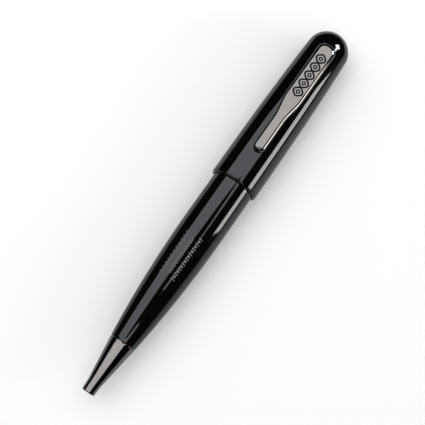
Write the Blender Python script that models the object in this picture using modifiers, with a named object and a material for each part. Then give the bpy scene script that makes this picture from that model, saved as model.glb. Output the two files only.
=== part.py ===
"""Twist-action ballpoint pen, lying on its side with the clip up and the point drawn in.

Blender 4.5, metres. The pen's axis runs along X, from the nose at -X to the crown at +X. The origin is
under the middle of the pen, on the surface that it lies on. A station is a distance from the nose end
along the axis, and every piece is laid out in stations. The refill is the piece that a maker buys in, so
the mechanism and the crown are placed from it, and each radius is worked out from what lies inside it.
"""

import math

import bmesh
import bpy
from mathutils import Matrix

MM = 0.001
SEGMENTS = 32  # facets around every turned piece, the same everywhere so that the facets line up
ROD_SEGMENTS = 24  # around the cross pin and the cutters that it runs in
FOOT_SEGMENTS = 16  # around the bump under the clip
FRICTION_RING_SIDES = 8  # of the ring's own round section
MERGE_DISTANCE = 0.01 * MM
SHARP_ANGLE = math.radians(35)  # between faces that are shaded with an edge

# Clearances
PRESS_FIT = 0.05 * MM  # radial gap of pieces that are pressed or screwed together
RUNNING_FIT = 0.10 * MM  # radial gap of pieces that turn on each other
SLIDING_FIT = 0.20 * MM  # radial gap of pieces that slide in each other
FACE_GAP = 0.10 * MM  # gap between end faces that meet
END_ROOM = 0.40 * MM  # room left in front of a piece at the end of its travel

# Refill
REFILL_LENGTH = 98.1 * MM
REFILL_RADIUS = 2.9 * MM
REFILL_WALL = 0.3 * MM
BALL_RADIUS = 0.35 * MM
SOCKET_WALL = 0.10 * MM
POINT_RADIUS = 1.15 * MM
POINT_CONE_LENGTH = 2.8 * MM
POINT_LENGTH = 10.0 * MM  # from the ball's front to the reducer
NECK_RADIUS = 1.7 * MM
NECK_LENGTH = 17.0 * MM  # from the ball's front to the shoulder that the spring pushes on
SHOULDER_THICKNESS = 0.8 * MM
REFILL_SPIGOT_LENGTH = 3.2 * MM
POINT_SPIGOT_LENGTH = 3.0 * MM
POINT_SPIGOT_RADIUS = 0.9 * MM
INK_HOLE_RADIUS = 0.5 * MM
TRAVEL = 5.0 * MM  # of the refill, for half a turn of the cap
RETRACTION = 1.6 * MM  # from the nose end in to the ball, with the point drawn in

# Return spring
WIRE_RADIUS = 0.18 * MM
SPRING_TURNS = 7
SPRING_POINTS_PER_TURN = 9
SPRING_GAP = 0.22 * MM  # from the wire to the refill's neck
SPRING_SEAT_SETBACK = 2.6 * MM  # from the extended neck's front back to the spring's seat

# Nose cone
NOSE_LENGTH = 17.6 * MM
NOSE_TIP_RADIUS = 2.1 * MM
NOSE_COLLAR_LENGTH = 3.5 * MM
NOSE_COLLAR_FLARE = 0.14 * MM
NOSE_EDGE = 0.35 * MM  # of the flat at the nose end lost to its rounded edge
NOSE_BORE_GAP = 0.15 * MM
SPIGOT_WALL = 0.55 * MM

# Barrel
BARREL_LENGTH = 58.6 * MM  # what shows between the nose cone and the cap's mouth
BARREL_UNDER_CAP = 1.6 * MM
BARREL_FRONT_WALL = 0.575 * MM
BARREL_BELLY_WALL = 1.9 * MM
BELLY_DISTANCE = 44.4 * MM  # from the nose joint to the widest place
BELLY_POWER = 2.06  # of the curve from the joint to the belly: 2 is a parabola
BARREL_REAR_TAPER = 0.035 * MM
BUSH_WALL = 0.5 * MM
BUSH_LENGTH = 7.0 * MM
BUSH_COVER = 0.5 * MM  # least barrel wall over the bush
LINER_WALL = 0.7 * MM
LINER_COVER = 0.65 * MM  # least barrel wall over the liner
EDGE_CHAMFER = 0.10 * MM

# Mechanism
GUIDE_WALL = 0.9 * MM
GUIDE_BORE_GAP = 0.4 * MM
GUIDE_GRIP = 14.0 * MM  # length of the guide tube that is pressed in the barrel's liner
GUIDE_FLANGE_THICKNESS = 1.2 * MM
GUIDE_FLANGE_HEIGHT = 0.8 * MM
GUIDE_TAIL = 1.1 * MM  # behind the retaining ring
PIN_RADIUS = 0.6 * MM
PIN_SLOT_GAP = 0.15 * MM
PIN_SETBACK = 9.2 * MM  # from the plunger's front to the pin
PIN_END_GAP = 0.2 * MM  # from the pin's end in to the cam sleeve's outside
PLUNGER_TAIL = 3.0 * MM
PLUNGER_CHAMFER = 0.3 * MM
CAM_WALL = 0.8 * MM
CAM_LAND = 3.4 * MM  # of the cam sleeve beyond the pin's travel, at each end
CAM_TWIST = math.pi  # turn of the cap that drives the refill through its travel
WASHER_THICKNESS = 0.5 * MM
RING_THICKNESS = 0.8 * MM
RING_GROOVE_DEPTH = 0.3 * MM
RING_HEIGHT = 0.95 * MM
RING_GAP = 1.2 * MM
HOLDER_WALL = 0.8 * MM
HOLDER_SHORTFALL = 0.4 * MM  # by which the holder is shorter than the cam sleeve, at each end

# Coupling between barrel and cap
COUPLING_LENGTH = 8.0 * MM
COUPLING_GAP = 0.25 * MM
FRICTION_RING_RADIUS = 0.42 * MM
FRICTION_RING_GAP = 0.08 * MM
FRICTION_RING_SETBACK = 3.3 * MM

# Cap
UPPER_LINER_WALL = 0.5 * MM
MOUTH_GAP = 0.205 * MM  # around the barrel
MOUTH_RING_LENGTH = 0.55 * MM
MOUTH_RING_BEAD = 0.4 * MM
MOUTH_RING_COLLAR_WALL = 0.28 * MM
MOUTH_RING_COLLAR_LENGTH = 1.6 * MM
CAP_MOUTH_WALL = 0.46 * MM
CAP_STRAIGHT = 3.8 * MM  # from the mouth to where the cap begins to taper
CAP_DROP = 0.91 * MM  # in radius, from the mouth to the crown
CAP_TAPER_POWER = 2.4
CROWN_LENGTH = 6.5 * MM
CROWN_SOLID = 5.3 * MM  # from the end of the anchor's pocket to the top of the crown
CROWN_BORE_RADIUS = 5.2 * MM
SCREW_ROOM = 7.0 * MM  # from the guide tube's end to the anchor
LINER_SETBACK = 0.8 * MM

# Clip and what holds it
CLIP_LENGTH = 41.5 * MM
CLIP_SETBACK = 7.8 * MM  # from the top of the crown to the clip's top end
CLIP_THICKNESS = 1.1 * MM
CLIP_CLEARANCE = 0.64 * MM  # from the cap at the mouth up to the clip's underside
CLIP_NARROW_WIDTH = 4.0 * MM
CLIP_WIDE_WIDTH = 6.1 * MM
CLIP_NARROW_LENGTH = 12.2 * MM
CLIP_FLARE_LENGTH = 8.5 * MM
CLIP_EDGE = 0.25 * MM
CLIP_LOW_ROUNDING = 1.9 * MM
CLIP_TOP_ROUNDING = 2.6 * MM
CLIP_ROUNDING_POWER = 2.2
FOOT_SETBACK = 1.7 * MM
FOOT_LENGTH_RADIUS = 1.15 * MM
FOOT_REST_GAP = 0.10 * MM
TANG_THICKNESS = 0.9 * MM
TANG_WIDTH = 4.0 * MM
TANG_SETBACK = 0.85 * MM  # from the clip's top end to the middle of the tang
TANG_DEPTH = 4.4 * MM  # below the pivot
TANG_SLOT_GAP = 0.25 * MM
TANG_SWING_ROOM = 0.55 * MM
CLIP_PIVOT_DEPTH = 0.35 * MM  # below the cap's surface
ANCHOR_LENGTH = 9.2 * MM
SCREW_RADIUS = 1.2 * MM
SCREW_HEAD_RADIUS = 2.2 * MM
SCREW_HEAD_LENGTH = 1.45 * MM
SCREW_BITE = 3.0 * MM  # into the crown
SCREW_SLOT_WIDTH = 0.6 * MM
SCREW_SLOT_DEPTH = 0.6 * MM

# Stations and radii that follow
BALL_FRONT = RETRACTION
SHOULDER = BALL_FRONT + NECK_LENGTH
REFILL_REAR = BALL_FRONT + REFILL_LENGTH
REFILL_BORE_RADIUS = REFILL_RADIUS - REFILL_WALL
REFILL_SPIGOT_RADIUS = REFILL_BORE_RADIUS - PRESS_FIT

NECK_STEP = BALL_FRONT + POINT_LENGTH - TRAVEL - END_ROOM
SPRING_SEAT = NECK_STEP + END_ROOM + SPRING_SEAT_SETBACK
SHOULDER_STEP = SHOULDER - TRAVEL - END_ROOM
SPRING_RADIUS = NECK_RADIUS + SPRING_GAP + WIRE_RADIUS
NOSE_HOLE_RADIUS = POINT_RADIUS + SLIDING_FIT
NECK_BORE_RADIUS = NECK_RADIUS + NOSE_BORE_GAP
SPRING_BORE_RADIUS = SPRING_RADIUS + WIRE_RADIUS + RUNNING_FIT
NOSE_BORE_RADIUS = REFILL_RADIUS + NOSE_BORE_GAP
SPIGOT_RADIUS = NOSE_BORE_RADIUS + SPIGOT_WALL
BARREL_FRONT_BORE = SPIGOT_RADIUS + PRESS_FIT
JOINT_RADIUS = BARREL_FRONT_BORE + BARREL_FRONT_WALL
BUSH_BORE_RADIUS = SPIGOT_RADIUS + PRESS_FIT
BUSH_RADIUS = BUSH_BORE_RADIUS + BUSH_WALL

GUIDE_BORE_RADIUS = REFILL_RADIUS + GUIDE_BORE_GAP
GUIDE_RADIUS = GUIDE_BORE_RADIUS + GUIDE_WALL
LINER_BORE_RADIUS = GUIDE_RADIUS + PRESS_FIT
LINER_RADIUS = LINER_BORE_RADIUS + LINER_WALL
BELLY_RADIUS = LINER_RADIUS + PRESS_FIT + BARREL_BELLY_WALL
BARREL_REAR_RADIUS = BELLY_RADIUS - BARREL_REAR_TAPER
PLUNGER_RADIUS = GUIDE_BORE_RADIUS - SLIDING_FIT

BARREL_FRONT = NOSE_LENGTH + FACE_GAP
BELLY = NOSE_LENGTH + BELLY_DISTANCE
CAP_MOUTH = NOSE_LENGTH + BARREL_LENGTH
BARREL_REAR = CAP_MOUTH + BARREL_UNDER_CAP
GUIDE_FRONT = BARREL_REAR - GUIDE_GRIP

PLUNGER_FRONT = REFILL_REAR + FACE_GAP
PIN_STATION = PLUNGER_FRONT + PIN_SETBACK
PLUNGER_REAR = PIN_STATION + PLUNGER_TAIL
CAM_FRONT = PIN_STATION - TRAVEL - CAM_LAND
CAM_REAR = PIN_STATION + CAM_LAND
CAM_BORE_RADIUS = GUIDE_RADIUS + RUNNING_FIT
CAM_RADIUS = CAM_BORE_RADIUS + CAM_WALL
GUIDE_FLANGE_REAR = CAM_FRONT - FACE_GAP
GUIDE_FLANGE_FRONT = GUIDE_FLANGE_REAR - GUIDE_FLANGE_THICKNESS
WASHER_FRONT = CAM_REAR + FACE_GAP
RING_FRONT = WASHER_FRONT + WASHER_THICKNESS + FACE_GAP
RING_REAR = RING_FRONT + RING_THICKNESS
GUIDE_REAR = RING_REAR + GUIDE_TAIL

HOLDER_BORE_RADIUS = CAM_RADIUS + PRESS_FIT
HOLDER_RADIUS = HOLDER_BORE_RADIUS + HOLDER_WALL
UPPER_LINER_BORE_RADIUS = HOLDER_RADIUS + PRESS_FIT
UPPER_LINER_RADIUS = UPPER_LINER_BORE_RADIUS + UPPER_LINER_WALL
CAP_BORE_RADIUS = UPPER_LINER_RADIUS + PRESS_FIT
COUPLING_RADIUS = UPPER_LINER_BORE_RADIUS - COUPLING_GAP
COUPLING_FRONT = BARREL_REAR + FACE_GAP
COUPLING_REAR = COUPLING_FRONT + COUPLING_LENGTH

MOUTH_RADIUS = BARREL_REAR_RADIUS + MOUTH_GAP
MOUTH_COLLAR_RADIUS = MOUTH_RADIUS + MOUTH_RING_COLLAR_WALL
MOUTH_RECESS_RADIUS = MOUTH_COLLAR_RADIUS + PRESS_FIT
CAP_RADIUS = MOUTH_RECESS_RADIUS + CAP_MOUTH_WALL
MOUTH_RING_REAR = CAP_MOUTH + MOUTH_RING_LENGTH
MOUTH_COLLAR_REAR = MOUTH_RING_REAR + MOUTH_RING_COLLAR_LENGTH
CAP_FRONT = MOUTH_RING_REAR + FACE_GAP
MOUTH_RECESS_REAR = MOUTH_COLLAR_REAR + FACE_GAP
UPPER_LINER_FRONT = MOUTH_RECESS_REAR + 2 * FACE_GAP

ANCHOR_FRONT = GUIDE_REAR + SCREW_ROOM
ANCHOR_REAR = ANCHOR_FRONT + ANCHOR_LENGTH
ANCHOR_RADIUS = CROWN_BORE_RADIUS - PRESS_FIT
UPPER_LINER_REAR = ANCHOR_FRONT - LINER_SETBACK
CAP_BORE_REAR = UPPER_LINER_REAR + 2 * FACE_GAP
CROWN_BORE_REAR = ANCHOR_REAR + FACE_GAP
SCREW_HOLE_RADIUS = SCREW_RADIUS + RUNNING_FIT
SCREW_HOLE_REAR = CROWN_BORE_REAR + SCREW_BITE + FACE_GAP
PEN_LENGTH = ANCHOR_REAR + CROWN_SOLID
CROWN_START = PEN_LENGTH - CROWN_LENGTH
TAPER_START = CAP_MOUTH + CAP_STRAIGHT

CLIP_TOP_END = PEN_LENGTH - CLIP_SETBACK
CLIP_LOW_END = CLIP_TOP_END - CLIP_LENGTH
CLIP_UNDERSIDE = CAP_RADIUS + CLIP_CLEARANCE  # above the axis
TANG_STATION = CLIP_TOP_END - TANG_SETBACK
FOOT_STATION = CLIP_LOW_END + FOOT_SETBACK

AXIS_HEIGHT = CAP_RADIUS  # the pen lies on the cap's widest ring
PARTS = "twist_ballpoint_pen"
CUTTERS = "cutters"
HELIX_STEPS_PER_HALF_TURN = 20
CUT_MARGIN = 0.5 * MM  # by which a cutter runs past the wall that it cuts


def barrel_radius(station):
    """Outer radius of the barrel: a curve up to the belly, then a slight taper to the rear."""
    if station >= BELLY:
        share = (station - BELLY) / (BARREL_REAR - BELLY)
        return BELLY_RADIUS - BARREL_REAR_TAPER * share
    share = (BELLY - station) / BELLY_DISTANCE
    return BELLY_RADIUS - (BELLY_RADIUS - JOINT_RADIUS) * share**BELLY_POWER


def barrel_station(radius):
    """Station at which the barrel first reaches this outer radius."""
    share = (BELLY_RADIUS - radius) / (BELLY_RADIUS - JOINT_RADIUS)
    return BELLY - BELLY_DISTANCE * share ** (1 / BELLY_POWER)


def cap_radius(station):
    """Outer radius of the cap: straight, then tapering, and closed by a domed crown."""
    share = max(0.0, station - TAPER_START) / (CROWN_START - TAPER_START)
    taper = CAP_RADIUS - CAP_DROP * share**CAP_TAPER_POWER
    rise = max(0.0, station - CROWN_START) / CROWN_LENGTH
    return taper * math.sqrt(max(0.0, 1 - rise * rise))


def evenly(start, end, count):
    """count values from start to end, both included."""
    return [start + (end - start) * i / (count - 1) for i in range(count)]


def arc(station, radius, size, first, last, count):
    """Outline points on an arc of this size. Its angle is 0 towards the crown and 90 degrees outwards."""
    return [
        (station + size * math.cos(math.radians(a)), radius + size * math.sin(math.radians(a)))
        for a in evenly(first, last, count)
    ]


def tube_outline(front, rear, bore, radius):
    """Outline of a plain tube or washer."""
    return [(rear, radius), (front, radius), (front, bore), (rear, bore)]


def clear_scene():
    """Removes what a new Blender file holds."""
    for obj in list(bpy.data.objects):
        bpy.data.objects.remove(obj)
    for name in (PARTS, CUTTERS):
        bpy.context.scene.collection.children.link(bpy.data.collections.new(name))


def make_material(name, color, roughness, metallic):
    """A plain Principled material."""
    material = bpy.data.materials.new(name)
    material.use_nodes = True
    shader = material.node_tree.nodes["Principled BSDF"]
    shader.inputs["Base Color"].default_value = (*color, 1)
    shader.inputs["Roughness"].default_value = roughness
    shader.inputs["Metallic"].default_value = metallic
    return material


def add_part(name, data, material):
    """Links an object as a part with its material, shaded smooth where it is round."""
    obj = bpy.data.objects.new(name, data)
    bpy.data.collections[PARTS].objects.link(obj)
    data.materials.append(material)
    if obj.type == "MESH":
        data.shade_smooth()
        data.set_sharp_from_angle(angle=SHARP_ANGLE)
    return obj


def add_cutter(name, mesh):
    """Links a helper that cuts or joins a part, and that isn't a part itself."""
    obj = bpy.data.objects.new(name, mesh)
    bpy.data.collections[CUTTERS].objects.link(obj)
    obj.hide_render = True
    obj.display_type = "WIRE"
    return obj


def on_axis(obj):
    """Places an object whose own Z is the pen's axis, with 0 at the nose end."""
    obj.location = (-PEN_LENGTH / 2, 0, AXIS_HEIGHT)
    obj.rotation_euler = (0, math.radians(90), 0)
    return obj


def at_station(obj, station, height=0.0):
    """Places an upright object at a station, at a height above the pen's axis."""
    obj.location = (station - PEN_LENGTH / 2, 0, AXIS_HEIGHT + height)
    return obj


def turned(name, outline, material):
    """A turned piece from its (station, radius) outline: the outside from rear to front, then the bore."""
    points = [(radius, 0, station) for station, radius in outline]
    edges = [(i, i + 1) for i in range(len(points) - 1)]
    if outline[0][1] > 0:
        edges.append((len(points) - 1, 0))
    mesh = bpy.data.meshes.new(name)
    mesh.from_pydata(points, edges, [])
    obj = on_axis(add_part(name, mesh, material))
    screw = obj.modifiers.new("turn", "SCREW")
    screw.steps = SEGMENTS
    screw.render_steps = SEGMENTS
    screw.use_merge_vertices = True
    screw.merge_threshold = MERGE_DISTANCE
    screw.use_smooth_shade = False
    return obj


def boolean(obj, other, operation):
    """Cuts the other object from obj, or joins it to obj."""
    modifier = obj.modifiers.new(other.name, "BOOLEAN")
    modifier.operation = operation
    modifier.object = other
    return obj


def box_mesh(name, size, middle=(0, 0, 0)):
    """A box of this size around a point."""
    mesh = bpy.data.meshes.new(name)
    shape = bmesh.new()
    bmesh.ops.create_cube(shape, size=1)
    bmesh.ops.scale(shape, vec=size, verts=shape.verts)
    bmesh.ops.translate(shape, vec=middle, verts=shape.verts)
    shape.to_mesh(mesh)
    shape.free()
    return mesh


def crosswise_rod_mesh(name, radius, length, stretch=0.0):
    """A rod along Y, drawn out towards -X into a slot shape by a stretch."""
    mesh = bpy.data.meshes.new(name)
    shape = bmesh.new()
    bmesh.ops.create_cone(
        shape, cap_ends=True, segments=ROD_SEGMENTS, radius1=radius, radius2=radius, depth=length
    )
    bmesh.ops.rotate(shape, matrix=Matrix.Rotation(math.radians(90), 3, "X"), verts=shape.verts)
    low_side = [v for v in shape.verts if v.co.x < -MERGE_DISTANCE]
    bmesh.ops.translate(shape, vec=(-stretch, 0, 0), verts=low_side)
    bmesh.ops.recalc_face_normals(shape, faces=shape.faces)
    shape.to_mesh(mesh)
    shape.free()
    return mesh


def helix_slot_mesh(name, start_angle):
    """A helical bar that cuts one cam slot: it climbs by the travel while it turns through the twist."""
    overrun = (PIN_RADIUS + PIN_SLOT_GAP) / CAM_BORE_RADIUS
    angle = CAM_TWIST + 2 * overrun
    lead = TRAVEL / CAM_TWIST
    half_width = (PIN_RADIUS + PIN_SLOT_GAP) * math.hypot(1, lead / CAM_BORE_RADIUS)
    inner = CAM_BORE_RADIUS - CUT_MARGIN
    outer = CAM_RADIUS + CUT_MARGIN
    first = PIN_STATION + lead * overrun
    steps = HELIX_STEPS_PER_HALF_TURN + 2
    turn = start_angle - overrun
    corners = [
        (inner, first - half_width),
        (outer, first - half_width),
        (outer, first + half_width),
        (inner, first + half_width),
    ]
    shape = bmesh.new()
    ring = [
        shape.verts.new((radius * math.cos(turn), radius * math.sin(turn), station))
        for radius, station in corners
    ]
    face = shape.faces.new(ring)
    bmesh.ops.spin(
        shape,
        geom=[*ring, *face.edges, face],
        axis=(0, 0, 1),
        cent=(0, 0, 0),
        dvec=(0, 0, -lead * angle / steps),
        angle=angle,
        steps=steps,
    )
    bmesh.ops.recalc_face_normals(shape, faces=shape.faces)
    mesh = bpy.data.meshes.new(name)
    shape.to_mesh(mesh)
    shape.free()
    return mesh


def make_nose_cone(material):
    """Cone with the point's hole, a seat for the spring, and a threaded spigot, shown plain."""
    collar_radius = NOSE_TIP_RADIUS + NOSE_COLLAR_FLARE
    outside = [
        (bush_rear(), SPIGOT_RADIUS),
        (NOSE_LENGTH, SPIGOT_RADIUS),
        (NOSE_LENGTH, JOINT_RADIUS - EDGE_CHAMFER / 2),
        (NOSE_LENGTH - EDGE_CHAMFER, JOINT_RADIUS),
        (NOSE_COLLAR_LENGTH, collar_radius),
        *arc(NOSE_EDGE, NOSE_TIP_RADIUS - NOSE_EDGE, NOSE_EDGE, 90, 180, 4),
    ]
    bore = [
        (0, NOSE_HOLE_RADIUS),
        (NECK_STEP, NOSE_HOLE_RADIUS),
        (NECK_STEP, NECK_BORE_RADIUS),
        (SPRING_SEAT, NECK_BORE_RADIUS),
        (SPRING_SEAT, SPRING_BORE_RADIUS),
        (SHOULDER_STEP, SPRING_BORE_RADIUS),
        (SHOULDER_STEP, NOSE_BORE_RADIUS),
        (bush_rear(), NOSE_BORE_RADIUS),
    ]
    return turned("nose_cone", outside + bore, material)


def bush_front():
    """Station where the barrel is thick enough to cover the bush."""
    return barrel_station(BUSH_RADIUS + PRESS_FIT + BUSH_COVER)


def bush_rear():
    """Rear end of the bush and of the nose cone's spigot."""
    return bush_front() + BUSH_LENGTH


def liner_front():
    """Station where the barrel is thick enough to cover the liner, behind the bush."""
    covered = barrel_station(LINER_RADIUS + PRESS_FIT + LINER_COVER)
    return max(covered, bush_rear() + END_ROOM)


def make_front_bush(material):
    """Threaded bush for the nose cone, its thread shown plain."""
    outline = tube_outline(bush_front() + FACE_GAP, bush_rear(), BUSH_BORE_RADIUS, BUSH_RADIUS)
    return turned("front_bush", outline, material)


def make_lower_barrel(material):
    """The tube between the nose cone and the cap."""
    bush_seat = BUSH_RADIUS + PRESS_FIT
    liner_seat = LINER_RADIUS + PRESS_FIT
    outside = [(s, barrel_radius(s)) for s in (BARREL_REAR, *evenly(BELLY, BARREL_FRONT + EDGE_CHAMFER, 10))]
    bore = [
        (BARREL_FRONT, JOINT_RADIUS - EDGE_CHAMFER / 2),
        (BARREL_FRONT, BARREL_FRONT_BORE),
        (bush_front(), BARREL_FRONT_BORE),
        (bush_front(), bush_seat),
        (liner_front(), bush_seat),
        (liner_front(), liner_seat),
        (BARREL_REAR, liner_seat),
    ]
    return turned("lower_barrel", outside + bore, material)


def make_lower_liner(material):
    """Tube that stiffens the barrel and holds the guide tube."""
    front = liner_front() + FACE_GAP
    outline = tube_outline(front, BARREL_REAR - FACE_GAP, LINER_BORE_RADIUS, LINER_RADIUS)
    return turned("lower_liner", outline, material)


def make_guide_tube(material):
    """Fixed tube with a flange, a ring groove and two straight slots that keep the pin from turning."""
    groove_radius = GUIDE_RADIUS - RING_GROOVE_DEPTH
    outline = [
        (GUIDE_REAR, GUIDE_RADIUS),
        (RING_REAR + PRESS_FIT, GUIDE_RADIUS),
        (RING_REAR + PRESS_FIT, groove_radius),
        (RING_FRONT - PRESS_FIT, groove_radius),
        (RING_FRONT - PRESS_FIT, GUIDE_RADIUS),
        (GUIDE_FLANGE_REAR, GUIDE_RADIUS),
        (GUIDE_FLANGE_REAR, GUIDE_RADIUS + GUIDE_FLANGE_HEIGHT),
        (GUIDE_FLANGE_FRONT, GUIDE_RADIUS + GUIDE_FLANGE_HEIGHT),
        (GUIDE_FLANGE_FRONT, GUIDE_RADIUS),
        (GUIDE_FRONT, GUIDE_RADIUS),
        (GUIDE_FRONT, GUIDE_BORE_RADIUS),
        (GUIDE_REAR, GUIDE_BORE_RADIUS),
    ]
    tube = turned("guide_tube", outline, material)
    slot_radius = PIN_RADIUS + PIN_SLOT_GAP
    through = 2 * (GUIDE_RADIUS + CUT_MARGIN)
    slot = add_cutter("guide_slots", crosswise_rod_mesh("guide_slots", slot_radius, through, TRAVEL))
    return boolean(tube, at_station(slot, PIN_STATION), "DIFFERENCE")


def make_coupling_ring(material):
    """Ring behind the barrel that centres the cap, with a groove for the friction ring."""
    middle, groove_half, groove_radius = friction_groove()
    bore = GUIDE_RADIUS + PRESS_FIT
    outline = [
        (COUPLING_REAR, COUPLING_RADIUS),
        (middle + groove_half, COUPLING_RADIUS),
        (middle + groove_half, groove_radius),
        (middle - groove_half, groove_radius),
        (middle - groove_half, COUPLING_RADIUS),
        (COUPLING_FRONT, COUPLING_RADIUS),
        (COUPLING_FRONT, bore),
        (COUPLING_REAR, bore),
    ]
    return turned("coupling_ring", outline, material)


def friction_groove():
    """Middle station, half width and bottom radius of the friction ring's groove."""
    middle = COUPLING_FRONT + FRICTION_RING_SETBACK
    ring_middle = UPPER_LINER_BORE_RADIUS - FRICTION_RING_GAP - FRICTION_RING_RADIUS
    return middle, FRICTION_RING_RADIUS + FACE_GAP, ring_middle - FRICTION_RING_RADIUS - PRESS_FIT


def make_friction_ring(material):
    """Rubber ring that drags in the cap's liner."""
    middle = friction_groove()[0]
    ring_middle = UPPER_LINER_BORE_RADIUS - FRICTION_RING_GAP - FRICTION_RING_RADIUS
    outline = arc(middle, ring_middle, FRICTION_RING_RADIUS, 0, 360, FRICTION_RING_SIDES + 1)[:-1]
    return turned("friction_ring", outline, material)


def make_thrust_washer(material):
    """Washer between the cam sleeve and the retaining ring."""
    rear = WASHER_FRONT + WASHER_THICKNESS
    return turned("thrust_washer", tube_outline(WASHER_FRONT, rear, CAM_BORE_RADIUS, CAM_RADIUS), material)


def make_retaining_ring(material):
    """Split ring in the guide tube's groove."""
    bore = GUIDE_RADIUS - RING_GROOVE_DEPTH + PRESS_FIT
    ring = turned("retaining_ring", tube_outline(RING_FRONT, RING_REAR, bore, bore + RING_HEIGHT), material)
    reach = bore + RING_HEIGHT + CUT_MARGIN
    size = (RING_THICKNESS + 2 * CUT_MARGIN, RING_GAP, reach)
    gap = add_cutter("retaining_ring_gap", box_mesh("retaining_ring_gap", size, (0, 0, -reach / 2)))
    return boolean(ring, at_station(gap, (RING_FRONT + RING_REAR) / 2), "DIFFERENCE")


def make_return_spring(material):
    """Coil spring from its seat in the nose cone to the refill's shoulder."""
    first = SPRING_SEAT + FACE_GAP + WIRE_RADIUS
    last = SHOULDER - FACE_GAP - WIRE_RADIUS
    count = SPRING_TURNS * SPRING_POINTS_PER_TURN + 1
    curve = bpy.data.curves.new("return_spring", "CURVE")
    curve.dimensions = "3D"
    curve.bevel_depth = WIRE_RADIUS
    curve.bevel_resolution = 2
    curve.use_fill_caps = True
    spline = curve.splines.new("POLY")
    spline.points.add(count - 1)
    for i, (point, station) in enumerate(zip(spline.points, evenly(first, last, count))):
        angle = 2 * math.pi * i / SPRING_POINTS_PER_TURN
        point.co = (SPRING_RADIUS * math.cos(angle), SPRING_RADIUS * math.sin(angle), station, 1)
    return on_axis(add_part("return_spring", curve, material))


def make_cap_mouth_ring(material):
    """Rounded bead at the cap's mouth, with a collar pressed in the cap."""
    bead = arc(CAP_MOUTH + MOUTH_RING_BEAD, CAP_RADIUS - MOUTH_RING_BEAD, MOUTH_RING_BEAD, 90, 180, 5)
    outline = [
        (MOUTH_COLLAR_REAR, MOUTH_COLLAR_RADIUS),
        (MOUTH_RING_REAR, MOUTH_COLLAR_RADIUS),
        (MOUTH_RING_REAR, CAP_RADIUS - EDGE_CHAMFER),
        (MOUTH_RING_REAR - EDGE_CHAMFER, CAP_RADIUS),
        *bead,
        (CAP_MOUTH + EDGE_CHAMFER, MOUTH_RADIUS),
        (MOUTH_COLLAR_REAR, MOUTH_RADIUS),
    ]
    return turned("cap_mouth_ring", outline, material)


def make_cap(material):
    """The cap's shell with its crown, its bores and the slot that the clip goes in by."""
    crown = [CROWN_START + CROWN_LENGTH * math.cos(math.radians(a)) for a in evenly(0, 90, 9)[1:-1]]
    outside = [
        (PEN_LENGTH, 0),
        *((s, cap_radius(s)) for s in (*crown, *evenly(CROWN_START, TAPER_START, 8))),
        (CAP_FRONT + EDGE_CHAMFER, CAP_RADIUS),
        (CAP_FRONT, CAP_RADIUS - EDGE_CHAMFER),
    ]
    bore = [
        (CAP_FRONT, MOUTH_RECESS_RADIUS),
        (MOUTH_RECESS_REAR, MOUTH_RECESS_RADIUS),
        (MOUTH_RECESS_REAR, CAP_BORE_RADIUS),
        (CAP_BORE_REAR, CAP_BORE_RADIUS),
        (CAP_BORE_REAR, CROWN_BORE_RADIUS),
        (CROWN_BORE_REAR, CROWN_BORE_RADIUS),
        (CROWN_BORE_REAR, SCREW_HOLE_RADIUS),
        (SCREW_HOLE_REAR, SCREW_HOLE_RADIUS),
        (SCREW_HOLE_REAR, 0),
    ]
    cap = turned("cap", outside + bore, material)
    low = CROWN_BORE_RADIUS - CUT_MARGIN
    high = CAP_RADIUS + CUT_MARGIN
    size = (TANG_THICKNESS + 2 * TANG_SLOT_GAP, TANG_WIDTH + 2 * TANG_SLOT_GAP, high - low)
    slot = add_cutter("clip_slot", box_mesh("clip_slot", size, (0, 0, (low + high) / 2)))
    return boolean(cap, at_station(slot, TANG_STATION), "DIFFERENCE")


def make_upper_liner(material):
    """Tube inside the cap that turns on the coupling ring."""
    outline = tube_outline(UPPER_LINER_FRONT, UPPER_LINER_REAR, UPPER_LINER_BORE_RADIUS, UPPER_LINER_RADIUS)
    return turned("upper_liner", outline, material)


def make_cam_holder(material):
    """Bush that fixes the cam sleeve in the cap's liner."""
    front = CAM_FRONT + HOLDER_SHORTFALL
    rear = CAM_REAR - HOLDER_SHORTFALL
    return turned("cam_holder", tube_outline(front, rear, HOLDER_BORE_RADIUS, HOLDER_RADIUS), material)


def make_cam_sleeve(material):
    """Sleeve that turns with the cap, with two helical slots half a turn apart."""
    sleeve = turned("cam_sleeve", tube_outline(CAM_FRONT, CAM_REAR, CAM_BORE_RADIUS, CAM_RADIUS), material)
    for name, start in (("cam_slot_a", 90), ("cam_slot_b", 270)):
        slot = on_axis(add_cutter(name, helix_slot_mesh(name, math.radians(start))))
        boolean(sleeve, slot, "DIFFERENCE")
    return sleeve


def make_clip_anchor(material):
    """Round block in the crown with a pocket for the clip's tang."""
    outline = tube_outline(ANCHOR_FRONT, ANCHOR_REAR, SCREW_HOLE_RADIUS, ANCHOR_RADIUS)
    anchor = turned("clip_anchor", outline, material)
    floor = clip_pivot_height() - TANG_DEPTH - TANG_SLOT_GAP
    roof = ANCHOR_RADIUS + CUT_MARGIN
    length = TANG_THICKNESS + TANG_SWING_ROOM + 2 * TANG_SLOT_GAP
    size = (length, TANG_WIDTH + 2 * TANG_SLOT_GAP, roof - floor)
    middle = (-TANG_SWING_ROOM / 2, 0, (floor + roof) / 2)
    pocket = add_cutter("tang_pocket", box_mesh("tang_pocket", size, middle))
    return boolean(anchor, at_station(pocket, TANG_STATION), "DIFFERENCE")


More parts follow.
